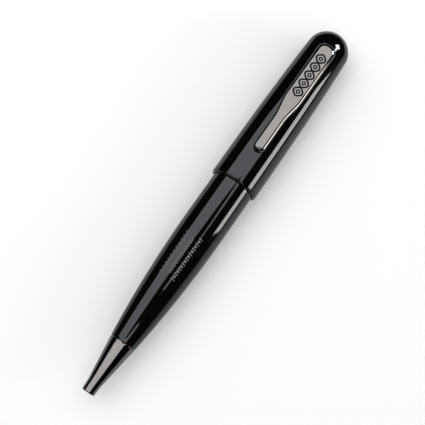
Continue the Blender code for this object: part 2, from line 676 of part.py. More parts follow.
def make_clip_screw(material):
    """Slotted screw through the anchor into the crown."""
    head_rear = ANCHOR_FRONT - FACE_GAP
    head_front = head_rear - SCREW_HEAD_LENGTH
    outline = [
        (SCREW_HOLE_REAR - FACE_GAP, 0),
        (SCREW_HOLE_REAR - FACE_GAP, SCREW_RADIUS),
        (head_rear, SCREW_RADIUS),
        (head_rear, SCREW_HEAD_RADIUS),
        (head_front, SCREW_HEAD_RADIUS),
        (head_front, 0),
    ]
    screw = turned("clip_screw", outline, material)
    size = (2 * SCREW_SLOT_DEPTH, 2 * SCREW_HEAD_RADIUS + 2 * CUT_MARGIN, SCREW_SLOT_WIDTH)
    slot = add_cutter("screw_slot", box_mesh("screw_slot", size))
    return boolean(screw, at_station(slot, head_front), "DIFFERENCE")


def clip_pivot_height():
    """Height of the clip's bending line above the axis, just inside the cap's wall."""
    return cap_radius(TANG_STATION) - CLIP_PIVOT_DEPTH


def clip_half_width(along):
    """Half the clip's width at a distance from its low end: narrow, flared, wide, with rounded ends."""
    flare = min(1.0, max(0.0, (along - CLIP_NARROW_LENGTH) / CLIP_FLARE_LENGTH))
    smooth = flare * flare * (3 - 2 * flare)
    half = (CLIP_NARROW_WIDTH + (CLIP_WIDE_WIDTH - CLIP_NARROW_WIDTH) * smooth) / 2
    for distance, rounding in ((along, CLIP_LOW_ROUNDING), (CLIP_LENGTH - along, CLIP_TOP_ROUNDING)):
        short = max(0.0, 1 - distance / rounding)
        half *= (1 - short**CLIP_ROUNDING_POWER) ** (1 / CLIP_ROUNDING_POWER)
    return half


def clip_outline():
    """The clip's outline seen from above, as (distance from the low end, half width) pairs."""
    turn = [1 - math.cos(math.radians(a)) for a in evenly(0, 90, 7)]
    low = [CLIP_LOW_ROUNDING * share for share in turn]
    flare = evenly(CLIP_NARROW_LENGTH, CLIP_NARROW_LENGTH + CLIP_FLARE_LENGTH, 7)
    top = [CLIP_LENGTH - CLIP_TOP_ROUNDING * share for share in reversed(turn)]
    return [(along, clip_half_width(along)) for along in (*low, *flare, *top)]


def clip_plate_mesh(name):
    """The clip's flat bar with rounded edges, from its outline. Its origin is the pivot."""
    side = clip_outline()
    outline = side + [(along, -half) for along, half in reversed(side[1:-1])]
    curve = bpy.data.curves.new(name, "CURVE")
    curve.dimensions = "2D"
    curve.fill_mode = "BOTH"
    curve.extrude = CLIP_THICKNESS / 2 - CLIP_EDGE
    curve.bevel_depth = CLIP_EDGE
    curve.bevel_resolution = 1
    curve.offset = -CLIP_EDGE
    spline = curve.splines.new("POLY")
    spline.points.add(len(outline) - 1)
    for point, (along, across) in zip(spline.points, outline):
        point.co = (CLIP_LOW_END - TANG_STATION + along, across, 0, 1)
    spline.use_cyclic_u = True
    guide = bpy.data.objects.new(name, curve)
    bpy.context.scene.collection.objects.link(guide)
    mesh = bpy.data.meshes.new_from_object(guide.evaluated_get(bpy.context.evaluated_depsgraph_get()))
    bpy.data.objects.remove(guide)
    shape = bmesh.new()
    shape.from_mesh(mesh)
    bmesh.ops.remove_doubles(shape, verts=shape.verts, dist=MERGE_DISTANCE)
    middle = CLIP_UNDERSIDE + CLIP_THICKNESS / 2 - clip_pivot_height()
    bmesh.ops.translate(shape, vec=(0, 0, middle), verts=shape.verts)
    bmesh.ops.recalc_face_normals(shape, faces=shape.faces)
    shape.to_mesh(mesh)
    shape.free()
    return mesh


def clip_foot_mesh(name):
    """Rounded bump under the clip's low end."""
    rest = cap_radius(FOOT_STATION) + FOOT_REST_GAP
    middle = CLIP_UNDERSIDE + CLIP_EDGE / 2
    mesh = bpy.data.meshes.new(name)
    shape = bmesh.new()
    bmesh.ops.create_uvsphere(shape, u_segments=FOOT_SEGMENTS, v_segments=FOOT_SEGMENTS // 2, radius=1)
    size = (FOOT_LENGTH_RADIUS, FOOT_LENGTH_RADIUS, middle - rest)
    bmesh.ops.scale(shape, vec=size, verts=shape.verts)
    place = (FOOT_STATION - TANG_STATION, 0, middle - clip_pivot_height())
    bmesh.ops.translate(shape, vec=place, verts=shape.verts)
    shape.to_mesh(mesh)
    shape.free()
    return mesh


def make_clip(material):
    """Spring clip: a bar with a foot at its low end and a tang at its top end. Its origin is the pivot."""
    clip = add_part("clip", clip_plate_mesh("clip"), material)
    roof = CLIP_UNDERSIDE + CLIP_THICKNESS / 2 - clip_pivot_height()
    size = (TANG_THICKNESS, TANG_WIDTH, roof + TANG_DEPTH)
    tang = add_cutter("clip_tang", box_mesh("clip_tang", size, (0, 0, (roof - TANG_DEPTH) / 2)))
    foot = add_cutter("clip_foot", clip_foot_mesh("clip_foot"))
    for piece in (clip, tang, foot):
        at_station(piece, TANG_STATION, clip_pivot_height())
    for piece in (tang, foot):
        boolean(clip, piece, "UNION")
    return clip


def make_plunger(material):
    """Rod that pushes the refill, bored across for the pin."""
    outline = [
        (PLUNGER_REAR, 0),
        (PLUNGER_REAR, PLUNGER_RADIUS - PLUNGER_CHAMFER),
        (PLUNGER_REAR - PLUNGER_CHAMFER, PLUNGER_RADIUS),
        (PLUNGER_FRONT + PLUNGER_CHAMFER, PLUNGER_RADIUS),
        (PLUNGER_FRONT, PLUNGER_RADIUS - PLUNGER_CHAMFER),
        (PLUNGER_FRONT, 0),
    ]
    plunger = turned("plunger", outline, material)
    through = 2 * (PLUNGER_RADIUS + CUT_MARGIN)
    hole_mesh = crosswise_rod_mesh("pin_hole", PIN_RADIUS + PRESS_FIT, through)
    hole = at_station(add_cutter("pin_hole", hole_mesh), PIN_STATION)
    return boolean(plunger, hole, "DIFFERENCE")


def make_cross_pin(material):
    """Pin through the plunger that runs in the guide's and the cam's slots."""
    length = 2 * (CAM_RADIUS - PIN_END_GAP)
    mesh = crosswise_rod_mesh("cross_pin", PIN_RADIUS, length)
    return at_station(add_part("cross_pin", mesh, material), PIN_STATION)


def make_refill_tube(material):
    """Ink tube."""
    front = SHOULDER + SHOULDER_THICKNESS + FACE_GAP
    rear = REFILL_REAR - SHOULDER_THICKNESS - FACE_GAP
    return turned("refill_tube", tube_outline(front, rear, REFILL_BORE_RADIUS, REFILL_RADIUS), material)


def make_refill_end_plug(material):
    """Vented plug at the rear of the ink tube."""
    step = REFILL_REAR - SHOULDER_THICKNESS
    outline = [
        (REFILL_REAR, REFILL_RADIUS),
        (step, REFILL_RADIUS),
        (step, REFILL_SPIGOT_RADIUS),
        (step - REFILL_SPIGOT_LENGTH, REFILL_SPIGOT_RADIUS),
        (step - REFILL_SPIGOT_LENGTH, INK_HOLE_RADIUS),
        (REFILL_REAR, INK_HOLE_RADIUS),
    ]
    return turned("refill_end_plug", outline, material)


def make_refill_reducer(material):
    """Neck of the refill: the spring goes round it and pushes on its shoulder."""
    front = BALL_FRONT + POINT_LENGTH + FACE_GAP
    step = SHOULDER + SHOULDER_THICKNESS
    socket = front + POINT_SPIGOT_LENGTH
    outline = [
        (step + REFILL_SPIGOT_LENGTH, REFILL_SPIGOT_RADIUS),
        (step, REFILL_SPIGOT_RADIUS),
        (step, REFILL_RADIUS),
        (SHOULDER, REFILL_RADIUS),
        (SHOULDER, NECK_RADIUS),
        (front, NECK_RADIUS),
        (front, POINT_SPIGOT_RADIUS + PRESS_FIT),
        (socket, POINT_SPIGOT_RADIUS + PRESS_FIT),
        (socket, INK_HOLE_RADIUS),
        (step + REFILL_SPIGOT_LENGTH, INK_HOLE_RADIUS),
    ]
    return turned("refill_reducer", outline, material)


def make_refill_point(material):
    """Turned point with a socket for the ball."""
    socket_radius = BALL_RADIUS + PRESS_FIT
    lip = BALL_FRONT + BALL_RADIUS / 2
    socket_rear = BALL_FRONT + 2 * BALL_RADIUS + FACE_GAP
    step = BALL_FRONT + POINT_LENGTH
    outline = [
        (step + POINT_SPIGOT_LENGTH, 0),
        (step + POINT_SPIGOT_LENGTH, POINT_SPIGOT_RADIUS),
        (step, POINT_SPIGOT_RADIUS),
        (step, POINT_RADIUS),
        (BALL_FRONT + POINT_CONE_LENGTH, POINT_RADIUS),
        (lip, socket_radius + SOCKET_WALL),
        (lip, socket_radius),
        (socket_rear, socket_radius),
        (socket_rear, 0),
    ]
    return turned("refill_point", outline, material)


def make_refill_ball(material):
    """Writing ball. Its origin is its centre."""
    mesh = bpy.data.meshes.new("refill_ball")
    shape = bmesh.new()
    bmesh.ops.create_uvsphere(shape, u_segments=12, v_segments=6, radius=BALL_RADIUS)
    shape.to_mesh(mesh)
    shape.free()
    return at_station(add_part("refill_ball", mesh, material), BALL_FRONT + BALL_RADIUS)


def main():
    """Builds the pen, from the nose to the crown and then what moves inside."""
    clear_scene()
    resin = make_material("black_resin", (0.012, 0.012, 0.013), 0.12, 0.0)
    gunmetal = make_material("gunmetal_plate", (0.33, 0.32, 0.31), 0.22, 1.0)
    brass = make_material("turned_brass", (0.72, 0.53, 0.24), 0.3, 1.0)
    steel = make_material("bright_steel", (0.6, 0.6, 0.6), 0.3, 1.0)
    nylon = make_material("white_nylon", (0.78, 0.77, 0.72), 0.5, 0.0)
    rubber = make_material("black_rubber", (0.02, 0.02, 0.02), 0.8, 0.0)
    makers = (
        (make_nose_cone, gunmetal),
        (make_front_bush, brass),
        (make_lower_barrel, resin),
        (make_lower_liner, brass),
        (make_guide_tube, brass),
        (make_coupling_ring, brass),
        (make_friction_ring, rubber),
        (make_thrust_washer, nylon),
        (make_retaining_ring, steel),
        (make_return_spring, steel),
        (make_cap_mouth_ring, resin),
        (make_cap, resin),
        (make_upper_liner, brass),
        (make_cam_holder, nylon),
        (make_cam_sleeve, brass),
        (make_clip_anchor, brass),
        (make_clip_screw, steel),
        (make_clip, gunmetal),
        (make_plunger, nylon),
        (make_cross_pin, steel),
        (make_refill_tube, steel),
        (make_refill_end_plug, nylon),
        (make_refill_reducer, nylon),
        (make_refill_point, brass),
        (make_refill_ball, steel),
    )
    for make, material in makers:
        make(material)


main()
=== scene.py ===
"""Looks of a twist-action ballpoint pen: black resin barrel and cap, black-nickel nose cone and clip.

Blender 4.5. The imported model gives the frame, in metres, and this script adds the fine pieces and the
finishes around it. Sizes here are in millimetres. A station is a distance from the nose end along the
pen's axis, and a height is a distance above that axis, towards the clip.
"""

from __future__ import annotations

import logging
import math
from dataclasses import dataclass, field
from enum import Enum
from typing import Any, Callable, Iterable, Sequence

import bmesh
import bpy
from mathutils import Matrix, Vector

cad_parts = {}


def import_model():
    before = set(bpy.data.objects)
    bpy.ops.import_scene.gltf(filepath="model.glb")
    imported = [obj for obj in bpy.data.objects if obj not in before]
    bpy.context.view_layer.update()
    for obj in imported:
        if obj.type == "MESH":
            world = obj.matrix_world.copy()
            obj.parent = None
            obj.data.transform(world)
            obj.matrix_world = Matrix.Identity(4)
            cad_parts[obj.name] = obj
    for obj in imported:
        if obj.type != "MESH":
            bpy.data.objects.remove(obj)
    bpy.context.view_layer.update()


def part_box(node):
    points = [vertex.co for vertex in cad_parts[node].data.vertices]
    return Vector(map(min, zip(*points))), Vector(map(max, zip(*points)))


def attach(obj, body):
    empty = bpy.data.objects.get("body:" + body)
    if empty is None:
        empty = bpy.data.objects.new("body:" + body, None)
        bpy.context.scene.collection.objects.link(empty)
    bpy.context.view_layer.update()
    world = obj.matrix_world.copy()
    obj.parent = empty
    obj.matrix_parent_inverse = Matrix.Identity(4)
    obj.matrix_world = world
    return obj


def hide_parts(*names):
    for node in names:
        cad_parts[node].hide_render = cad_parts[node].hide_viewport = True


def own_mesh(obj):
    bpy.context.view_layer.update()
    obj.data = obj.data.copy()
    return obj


LOG = logging.getLogger("pen")
MM = 0.001
MERGE = 0.001 * MM  # vertices closer than this are one
FINE = 128  # facets around the pieces that show
PLAIN = 64  # facets around the small and the hidden pieces
SHARP = math.radians(32)  # between faces that keep an edge in the shading
NOISE_SPREAD = (0.3, 0.7)  # what most of a noise texture's values lie between
MIX_FIRST_COLOR, MIX_SECOND_COLOR, MIX_COLOR = 6, 7, 2  # sockets of a Mix node that mixes colours

Point = tuple[float, float]  # two distances in millimetres, most often a station and a radius


class Body(Enum):
    """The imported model's bodies that new pieces ride on."""

    BARREL = "barrel"
    CAP = "cap"
    CLIP = "clip"
    REFILL = "refill"


class Slot(Enum):
    """The record's material slots."""

    RESIN = "black_resin"
    PLATE = "gunmetal_plate"
    BRASS = "turned_brass"
    STEEL = "bright_steel"
    NYLON = "white_nylon"
    RUBBER = "black_rubber"
    POINT = "point_brass"


class Lay(Enum):
    """Which way a finish's fine lines run on a turned piece."""

    ROUND = (1.0, 0.04, 0.04)
    ALONG = (0.03, 1.0, 1.0)
    NONE = (1.0, 1.0, 1.0)


# ---------------------------------------------------------------- frame


@dataclass(frozen=True)
class Axis:
    """The pen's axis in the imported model's frame."""

    nose_end: float
    height: float

    @classmethod
    def from_frame(cls) -> Axis:
        """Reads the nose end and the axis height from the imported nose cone."""
        low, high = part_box("nose_cone")
        return cls(nose_end=low[0], height=(low[2] + high[2]) / 2)

    def place(self, station: float, across: float = 0.0, height: float = 0.0) -> Vector:
        """A point in the frame, in metres, from millimetres along, across and above the axis."""
        return Vector((self.nose_end + station * MM, across * MM, self.height + height * MM))


# ---------------------------------------------------------------- modelling


def evenly(start: float, end: float, count: int) -> list[float]:
    """Gives count values from start to end, both ends included."""
    return [start + (end - start) * i / (count - 1) for i in range(count)]


def rounding(
    station: float, radius: float, size: float, first: float, last: float, count: int
) -> list[Point]:
    """Points on an arc about (station, radius), in degrees: 0 is towards the crown and 90 is outwards."""
    angles = [math.radians(a) for a in evenly(first, last, count)]
    return [(station + size * math.cos(a), radius + size * math.sin(a)) for a in angles]


def start_mesh(name: str) -> bpy.types.Object:
    """Adds a plane at the frame's origin with nothing else selected, and opens it for editing.

    Args:
        name: The new piece's name.

    Returns:
        The plane, in edit mode.
    """
    bpy.ops.object.select_all(action="DESELECT")
    bpy.ops.mesh.primitive_plane_add(size=MM, location=(0, 0, 0))
    obj = bpy.context.object
    obj.name = obj.data.name = name
    bpy.ops.object.mode_set(mode="EDIT")
    return obj


def pick(obj: bpy.types.Object, kind: str, test: Callable[[Any], bool]) -> None:
    """Selects elements of the mesh that is open for editing, and nothing else.

    Args:
        obj: The object in edit mode.
        kind: "verts", "edges" or "faces".
        test: Says for an element whether it is wanted.
    """
    mode = {"verts": "VERT", "edges": "EDGE", "faces": "FACE"}[kind]
    bpy.ops.mesh.select_mode(type=mode)
    bpy.ops.mesh.select_all(action="DESELECT")
    shape = bmesh.from_edit_mesh(obj.data)
    for element in getattr(shape, kind):
        if test(element):
            element.select_set(True)
    shape.select_flush_mode()
    bmesh.update_edit_mesh(obj.data)


def close_mesh(obj: bpy.types.Object) -> bpy.types.Object:
    """Merges doubles, turns the faces outwards and shades the piece smooth up to its sharp edges.

    Args:
        obj: The piece, in edit mode.

    Returns:
        The same piece, out of edit mode.
    """
    bpy.ops.mesh.select_all(action="SELECT")
    bpy.ops.mesh.remove_doubles(threshold=MERGE)
    bpy.ops.mesh.normals_make_consistent(inside=False)
    bpy.ops.object.mode_set(mode="OBJECT")
    bpy.ops.object.shade_smooth_by_angle(angle=SHARP)
    return obj


def turned(axis: Axis, name: str, outline: Sequence[Point], facets: int = FINE) -> bpy.types.Object:
    """Models a turned piece: its outline is walked point by point, closed, and spun about the axis.

    An outline that starts on the axis needs no closing edge.

    Args:
        axis: The pen's axis.
        name: The piece's name.
        outline: Station and radius of each corner, once round the section.
        facets: How many facets the piece has around it.

    Returns:
        The finished piece.
    """
    obj = start_mesh(name)
    shape = bmesh.from_edit_mesh(obj.data)
    first = min(shape.verts, key=lambda v: (v.co.x, v.co.y))
    keep = first.index
    pick(obj, "verts", lambda v: v.index != keep)
    bpy.ops.mesh.delete(type="VERT")
    bpy.ops.mesh.select_all(action="SELECT")
    here = Vector((-MM / 2, -MM / 2, 0))
    places = [axis.place(station, 0, radius) for station, radius in outline]
    bpy.ops.transform.translate(value=places[0] - here)
    for last, place in zip(places, places[1:]):
        bpy.ops.mesh.extrude_vertices_move(TRANSFORM_OT_translate={"value": place - last})
    if outline[0][1] > 0:
        pick(obj, "verts", lambda v: len(v.link_edges) == 1)
        bpy.ops.mesh.edge_face_add()
    bpy.ops.mesh.select_all(action="SELECT")
    bpy.ops.mesh.spin(
        steps=facets, angle=math.tau, use_auto_merge=True, center=axis.place(0), axis=(1, 0, 0)
    )
    return close_mesh(obj)


def apply_boolean(obj: bpy.types.Object, other: bpy.types.Object, operation: str) -> None:
    """Cuts the other object from a piece, or joins it on, and removes the other object.

    Args:
        obj: The piece that stays.
        other: The object that is used up.
        operation: "DIFFERENCE" or "UNION".
    """
    bpy.ops.object.select_all(action="DESELECT")
    obj.select_set(True)
    bpy.context.view_layer.objects.active = obj
    modifier = obj.modifiers.new(other.name, "BOOLEAN")
    modifier.operation = operation
    modifier.object = other
    bpy.ops.object.modifier_apply(modifier=modifier.name)
    bpy.data.objects.remove(other)


def block(name: str, low: Vector, high: Vector) -> bpy.types.Object:
    """A plain box between two corners, as a tool for cutting or joining.

    Args:
        name: The box's name.
        low: Its lowest corner, in metres.
        high: Its highest corner.

    Returns:
        The box.
    """
    bpy.ops.object.select_all(action="DESELECT")
    bpy.ops.mesh.primitive_cube_add(size=1, location=(low + high) / 2, scale=high - low)
    obj = bpy.context.object
    obj.name = name
    bpy.ops.object.transform_apply(location=True, rotation=True, scale=True)
    return obj


def centres(length: float, count: int) -> list[float]:
    """Middles of count equal shares of a length that is centred on 0."""
    return [-length / 2 + length / count * (i + 0.5) for i in range(count)]


def lozenge(middle: float, reach: float, tall: float) -> list[Point]:
    """Corners of a lozenge, the first one twice: reach is half its length and tall half its height."""
    return [(middle - reach, 0), (middle, tall), (middle + reach, 0), (middle, -tall), (middle - reach, 0)]


def braid(half: float, reach: float, bows: int, count: int) -> list[list[Point]]:
    """Two waves that mirror and cross each other.

    Args:
        half: Half their length.
        reach: How far they swing to each side.
        bows: How many half waves.
        count: How many points on each.

    Returns:
        The points of both waves.
    """
    along = evenly(-half, half, count)
    phase = [math.pi * bows * i / (count - 1) for i in range(count)]
    return [[(a, reach * side * math.sin(p)) for a, p in zip(along, phase)] for side in (1, -1)]


def ribbon(
    name: str, start: Vector, spots: Sequence[Point], width: float, low: float, high: float
) -> bpy.types.Object:
    """A thin stroke with upright sides along spots on a level surface, closed if it ends where it starts.

    Args:
        name: The stroke's name.
        start: The place that the spots count from, in metres.
        spots: Distances along and across, in millimetres.
        width: The stroke's width.
        low: Its underside, above the start, in millimetres.
        high: Its top, above the start, in millimetres.

    Returns:
        The stroke, closed.
    """
    obj = start_mesh(name)
    bpy.ops.mesh.delete(type="VERT")
    shape = bmesh.from_edit_mesh(obj.data)
    closed = spots[0] == spots[-1]
    spots = spots[:-1] if closed else spots
    ring: list[tuple[Any, Any]] = []
    for i, spot in enumerate(spots):
        before = spots[i - 1] if closed or i else spot
        after = spots[(i + 1) % len(spots)] if closed or i + 1 < len(spots) else spot
        run = Vector((after[0] - before[0], after[1] - before[1])).normalized()
        side = Vector((-run.y, run.x, 0)) * width / 2 * MM
        middle = start + Vector((spot[0] * MM, spot[1] * MM, low * MM))
        ring.append((shape.verts.new(middle - side), shape.verts.new(middle + side)))
    for (a, b), (c, d) in zip(ring, [*ring[1:], ring[0]] if closed else ring[1:]):
        shape.faces.new((a, c, d, b))
    bmesh.update_edit_mesh(obj.data)
    bpy.ops.mesh.select_all(action="SELECT")
    bpy.ops.mesh.extrude_region_move(TRANSFORM_OT_translate={"value": (0, 0, (high - low) * MM)})
    return close_mesh(obj)


# ---------------------------------------------------------------- finishes


def linear(hex_code: str) -> tuple[float, float, float, float]:
    """Turns a colour from sRGB to linear.

    Args:
        hex_code: The sRGB colour, such as "#7b7875".

    Returns:
        Linear red, green, blue and an alpha of 1.
    """
    shares = [int(hex_code[i : i + 2], 16) / 255 for i in (1, 3, 5)]
    red, green, blue = [s / 12.92 if s <= 0.04045 else ((s + 0.055) / 1.055) ** 2.4 for s in shares]
    return red, green, blue, 1.0


def per_mm(size: float) -> float:
    """Texture scale at which one feature is this many millimetres in the metre-sized frame."""
    return 1 / (size * MM)


def add_node(tree: bpy.types.NodeTree, kind: str, settings: dict[str, Any], **links: Any) -> bpy.types.Node:
    """Adds a node to a tree.

    Args:
        tree: The material's or the world's node tree.
        kind: The node's type, without "ShaderNode".
        settings: Its properties and its unlinked inputs by name.
        links: For an input, by name with _ for a space, the output that feeds it.

    Returns:
        The new node.
    """
    node = tree.nodes.new("ShaderNode" + kind)
    for name, value in settings.items():
        if name in node.inputs:
            node.inputs[name].default_value = value
        else:
            setattr(node, name, value)
    for name, source in links.items():
        tree.links.new(source, node.inputs[name.replace("_", " ")])
    return node


@dataclass(frozen=True)
class Finish:
    """A surface: its colour and shine, with the fine unevenness that its making leaves.

    Attributes:
        name: The material's own name.
        color: Base colour.
        tint: Second colour, into which the base drifts.
        roughness: Lowest and highest roughness.
        metallic: 1 for metals.
        ior: Index of refraction, left alone on metals.
        lay: Which way the fine lines run.
        line: Spacing of the fine lines in millimetres.
        relief: Height of the fine lines in millimetres.
        drift: Size of the colour drift in millimetres.
        sheen_tint: Colour of the shine on a surface that is not metal.
    """

    name: str
    color: str
    tint: str
    roughness: tuple[float, float]
    metallic: float = 0.0
    ior: float = 1.5
    lay: Lay = Lay.NONE
    line: float = 0.1
    relief: float = 0.0
    drift: float = 6.0
    sheen_tint: str = "#ffffff"

    def build(self) -> bpy.types.Material:
        """Makes the material, or finds it if it is already made.

        Returns:
            The material.
        """
        made = bpy.data.materials.get(self.name)
        if made:
            return made
        material = bpy.data.materials.new(self.name)
        material.use_nodes = True
        tree = material.node_tree
        shader = tree.nodes["Principled BSDF"]
        shader.inputs["Metallic"].default_value = self.metallic
        if not self.metallic:
            shader.inputs["IOR"].default_value = self.ior
            shader.inputs["Specular Tint"].default_value = linear(self.sheen_tint)
        coords = add_node(tree, "TexCoord", {})
        lines = self.add_lines(tree, coords)
        spread = add_node(
            tree,
            "MapRange",
            {
                "From Min": NOISE_SPREAD[0],
                "From Max": NOISE_SPREAD[1],
                "To Min": self.roughness[0],
                "To Max": self.roughness[1],
            },
            Value=lines.outputs["Fac"],
        )
        tree.links.new(spread.outputs["Result"], shader.inputs["Roughness"])
        cloud = add_node(
            tree, "TexNoise", {"Scale": per_mm(self.drift), "Detail": 3.0}, Vector=coords.outputs["Object"]
        )
        mix = add_node(tree, "Mix", {"data_type": "RGBA"}, Factor=cloud.outputs["Fac"])
        mix.inputs[MIX_FIRST_COLOR].default_value = linear(self.color)
        mix.inputs[MIX_SECOND_COLOR].default_value = linear(self.tint)
        tree.links.new(mix.outputs[MIX_COLOR], shader.inputs["Base Color"])
        if self.relief:
            bump = add_node(
                tree, "Bump", {"Strength": 1.0, "Distance": self.relief * MM}, Height=lines.outputs["Fac"]
            )
            tree.links.new(bump.outputs["Normal"], shader.inputs["Normal"])
        return material

    def add_lines(self, tree: bpy.types.NodeTree, coords: bpy.types.Node) -> bpy.types.Node:
        """Adds the noise that draws the fine lines, stretched along their lay.

        Args:
            tree: The material's node tree.
            coords: Its texture coordinates.

        Returns:
            The noise node.
        """
        stretch = add_node(
            tree,
            "Mapping",
            {"Scale": [share * per_mm(self.line) for share in self.lay.value]},
            Vector=coords.outputs["Object"],
        )
        settings = {"Scale": 1.0, "Detail": 4.0, "Roughness": 0.6}
        return add_node(tree, "TexNoise", settings, Vector=stretch.outputs["Vector"])


# Cast resin, turned and buffed: near black, with a mirror-like gloss and faint buffing lines around it.
RESIN = Finish(
    "buffed_black_resin",
    "#040404",
    "#060606",
    (0.035, 0.06),
    ior=1.53,
    lay=Lay.ROUND,
    line=0.15,
    sheen_tint="#f6fbff",
)
# Black nickel over polished brass: a warm grey mirror with a slightly soft edge to what it reflects.
BLACK_NICKEL = Finish(
    "black_nickel_plate", "#7b7875", "#777471", (0.10, 0.15), metallic=1, lay=Lay.ROUND, line=0.12
)
# The same plate on the clip, brushed lightly along its length before it was plated.
CLIP_NICKEL = Finish(
    "brushed_black_nickel", "#7d7a76", "#757270", (0.05, 0.09), metallic=1, lay=Lay.ALONG, line=0.10
)
# Painted shade in the engraved lines: a black, dull metal colour that stands in for the shade in the
# grooves, so that the ornament stands out from the plate.
ENGRAVING_PAINTED_SHADE = Finish("oxidised_engraving", "#121110", "#1a1918", (0.5, 0.65), metallic=1, line=0.08)
# Pad-printed pewter ink: flat mid grey, a little uneven where the resin shows through.
PRINTED_INK = Finish("pad_printed_ink", "#848485", "#6c6c6d", (0.45, 0.55), ior=1.48, line=0.12, drift=0.6)
# The same ink where it is printed thin, so that more of the resin shows.
THIN_INK = Finish("thin_printed_ink", "#59595b", "#434345", (0.40, 0.5), ior=1.48, line=0.12, drift=0.6)
# Free-cutting brass, turned: yellow metal with tool marks around it.
BRASS = Finish(
    "turned_brass", "#dcbb6d", "#cfa855", (0.22, 0.36), metallic=1, lay=Lay.ROUND, line=0.10, relief=0.002
)
# Drawn stainless steel: grey with fine lines along the wire or tube.
STEEL = Finish(
    "drawn_steel", "#c8c8c6", "#b9b9b8", (0.20, 0.32), metallic=1, lay=Lay.ALONG, line=0.06, relief=0.001
)
# Natural nylon, moulded: milky white and half dull.
NYLON = Finish("moulded_nylon", "#e4e1d6", "#dad6c8", (0.40, 0.5), ior=1.53, line=0.2, relief=0.002)
# Nitrile rubber: dull black with the mould's faint grain.
RUBBER = Finish("nitrile_rubber", "#141414", "#1b1b1b", (0.6, 0.75), ior=1.52, line=0.06, relief=0.003)
# Nickel-brass of the writing point, turned on a fine lathe: paler than the other brass.
POINT_BRASS = Finish(
    "fine_turned_nickel_brass",
    "#cdbd92",
    "#c2b083",
    (0.16, 0.26),
    metallic=1,
    lay=Lay.ROUND,
    line=0.05,
    relief=0.001,
)

INNER_FINISHES = {Slot.BRASS: BRASS, Slot.STEEL: STEEL, Slot.NYLON: NYLON, Slot.RUBBER: RUBBER}


def dress(obj: bpy.types.Object, finish: Finish) -> None:
    """Gives a piece one finish all over."""
    obj.data.materials.clear()
    obj.data.materials.append(finish.build())


def hand_over(obj: bpy.types.Object, body: Body, slot: Slot, *nodes: str) -> None:
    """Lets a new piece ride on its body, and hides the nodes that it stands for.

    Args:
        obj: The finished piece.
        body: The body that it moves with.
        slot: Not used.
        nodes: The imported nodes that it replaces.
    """
    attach(obj, body.value)
    if nodes:
        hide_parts(*nodes)
    LOG.info("%s: %d faces on %s", obj.name, len(obj.data.polygons), body.value)


# ---------------------------------------------------------------- the pen's sub-assemblies


@dataclass
class NoseCone:
    """The plated nose cone: a straight cone with a collar at the point's hole and a spigot behind."""

    axis: Axis
    length: float = 17.6
    tip_radius: float = 2.1
    collar_length: float = 3.5
    collar_radius: float = 2.24
    end_rounding: float = 0.35
    joint_radius: float = 4.225
    joint_rounding: float = 0.16
    rim_margin: float = 0.2
    spigot_radius: float = 3.6
    spigot_rear: float = 28.55
    spigot_chamfer: float = 0.2
    hole_radius: float = 1.35
    hole_countersink: float = 0.12
    bores: Sequence[Point] = ((6.2, 1.85), (9.2, 2.4), (13.2, 3.05))

    def outline(self) -> list[Point]:
        """Outline of the cone, from the spigot's rear over the outside and back through the bore.

        Returns:
            Its corners.
        """
        rim_middle = self.length - self.joint_rounding
        rim_radius = self.joint_radius - self.joint_rounding
        end_radius = self.tip_radius - self.end_rounding
        outside = [
            (self.spigot_rear, self.spigot_radius - self.spigot_chamfer),
            (self.spigot_rear - self.spigot_chamfer, self.spigot_radius),
            (self.length, self.spigot_radius),
            *rounding(rim_middle, rim_radius, self.joint_rounding, 0, 82, 6),
            *self.cone(),
            *rounding(self.end_rounding, end_radius, self.end_rounding, 94, 180, 8),
        ]
        bore: list[Point] = [
            (0, self.hole_radius + self.hole_countersink),
            (self.hole_countersink, self.hole_radius),
        ]
        radius = self.hole_radius
        for station, next_radius in self.bores:
            bore += [(station, radius), (station, next_radius)]
            radius = next_radius
        return [*outside, *bore, (self.spigot_rear, radius)]

    def cone(self) -> list[Point]:
        """The straight cone from the joint's rim to the collar, in short lengths.

        Returns:
            Its corners.
        """
        stations = evenly(self.length - self.joint_rounding - self.rim_margin, self.collar_length, 10)
        slope = (self.joint_radius - self.collar_radius) / (self.length - self.collar_length)
        return [(s, self.collar_radius + slope * (s - self.collar_length)) for s in stations]

    def build(self) -> None:
        """Models and plates the cone."""
        cone = turned(self.axis, "nose_cone_plated", self.outline())
        dress(cone, BLACK_NICKEL)
        hand_over(cone, Body.BARREL, Slot.PLATE, "nose_cone")


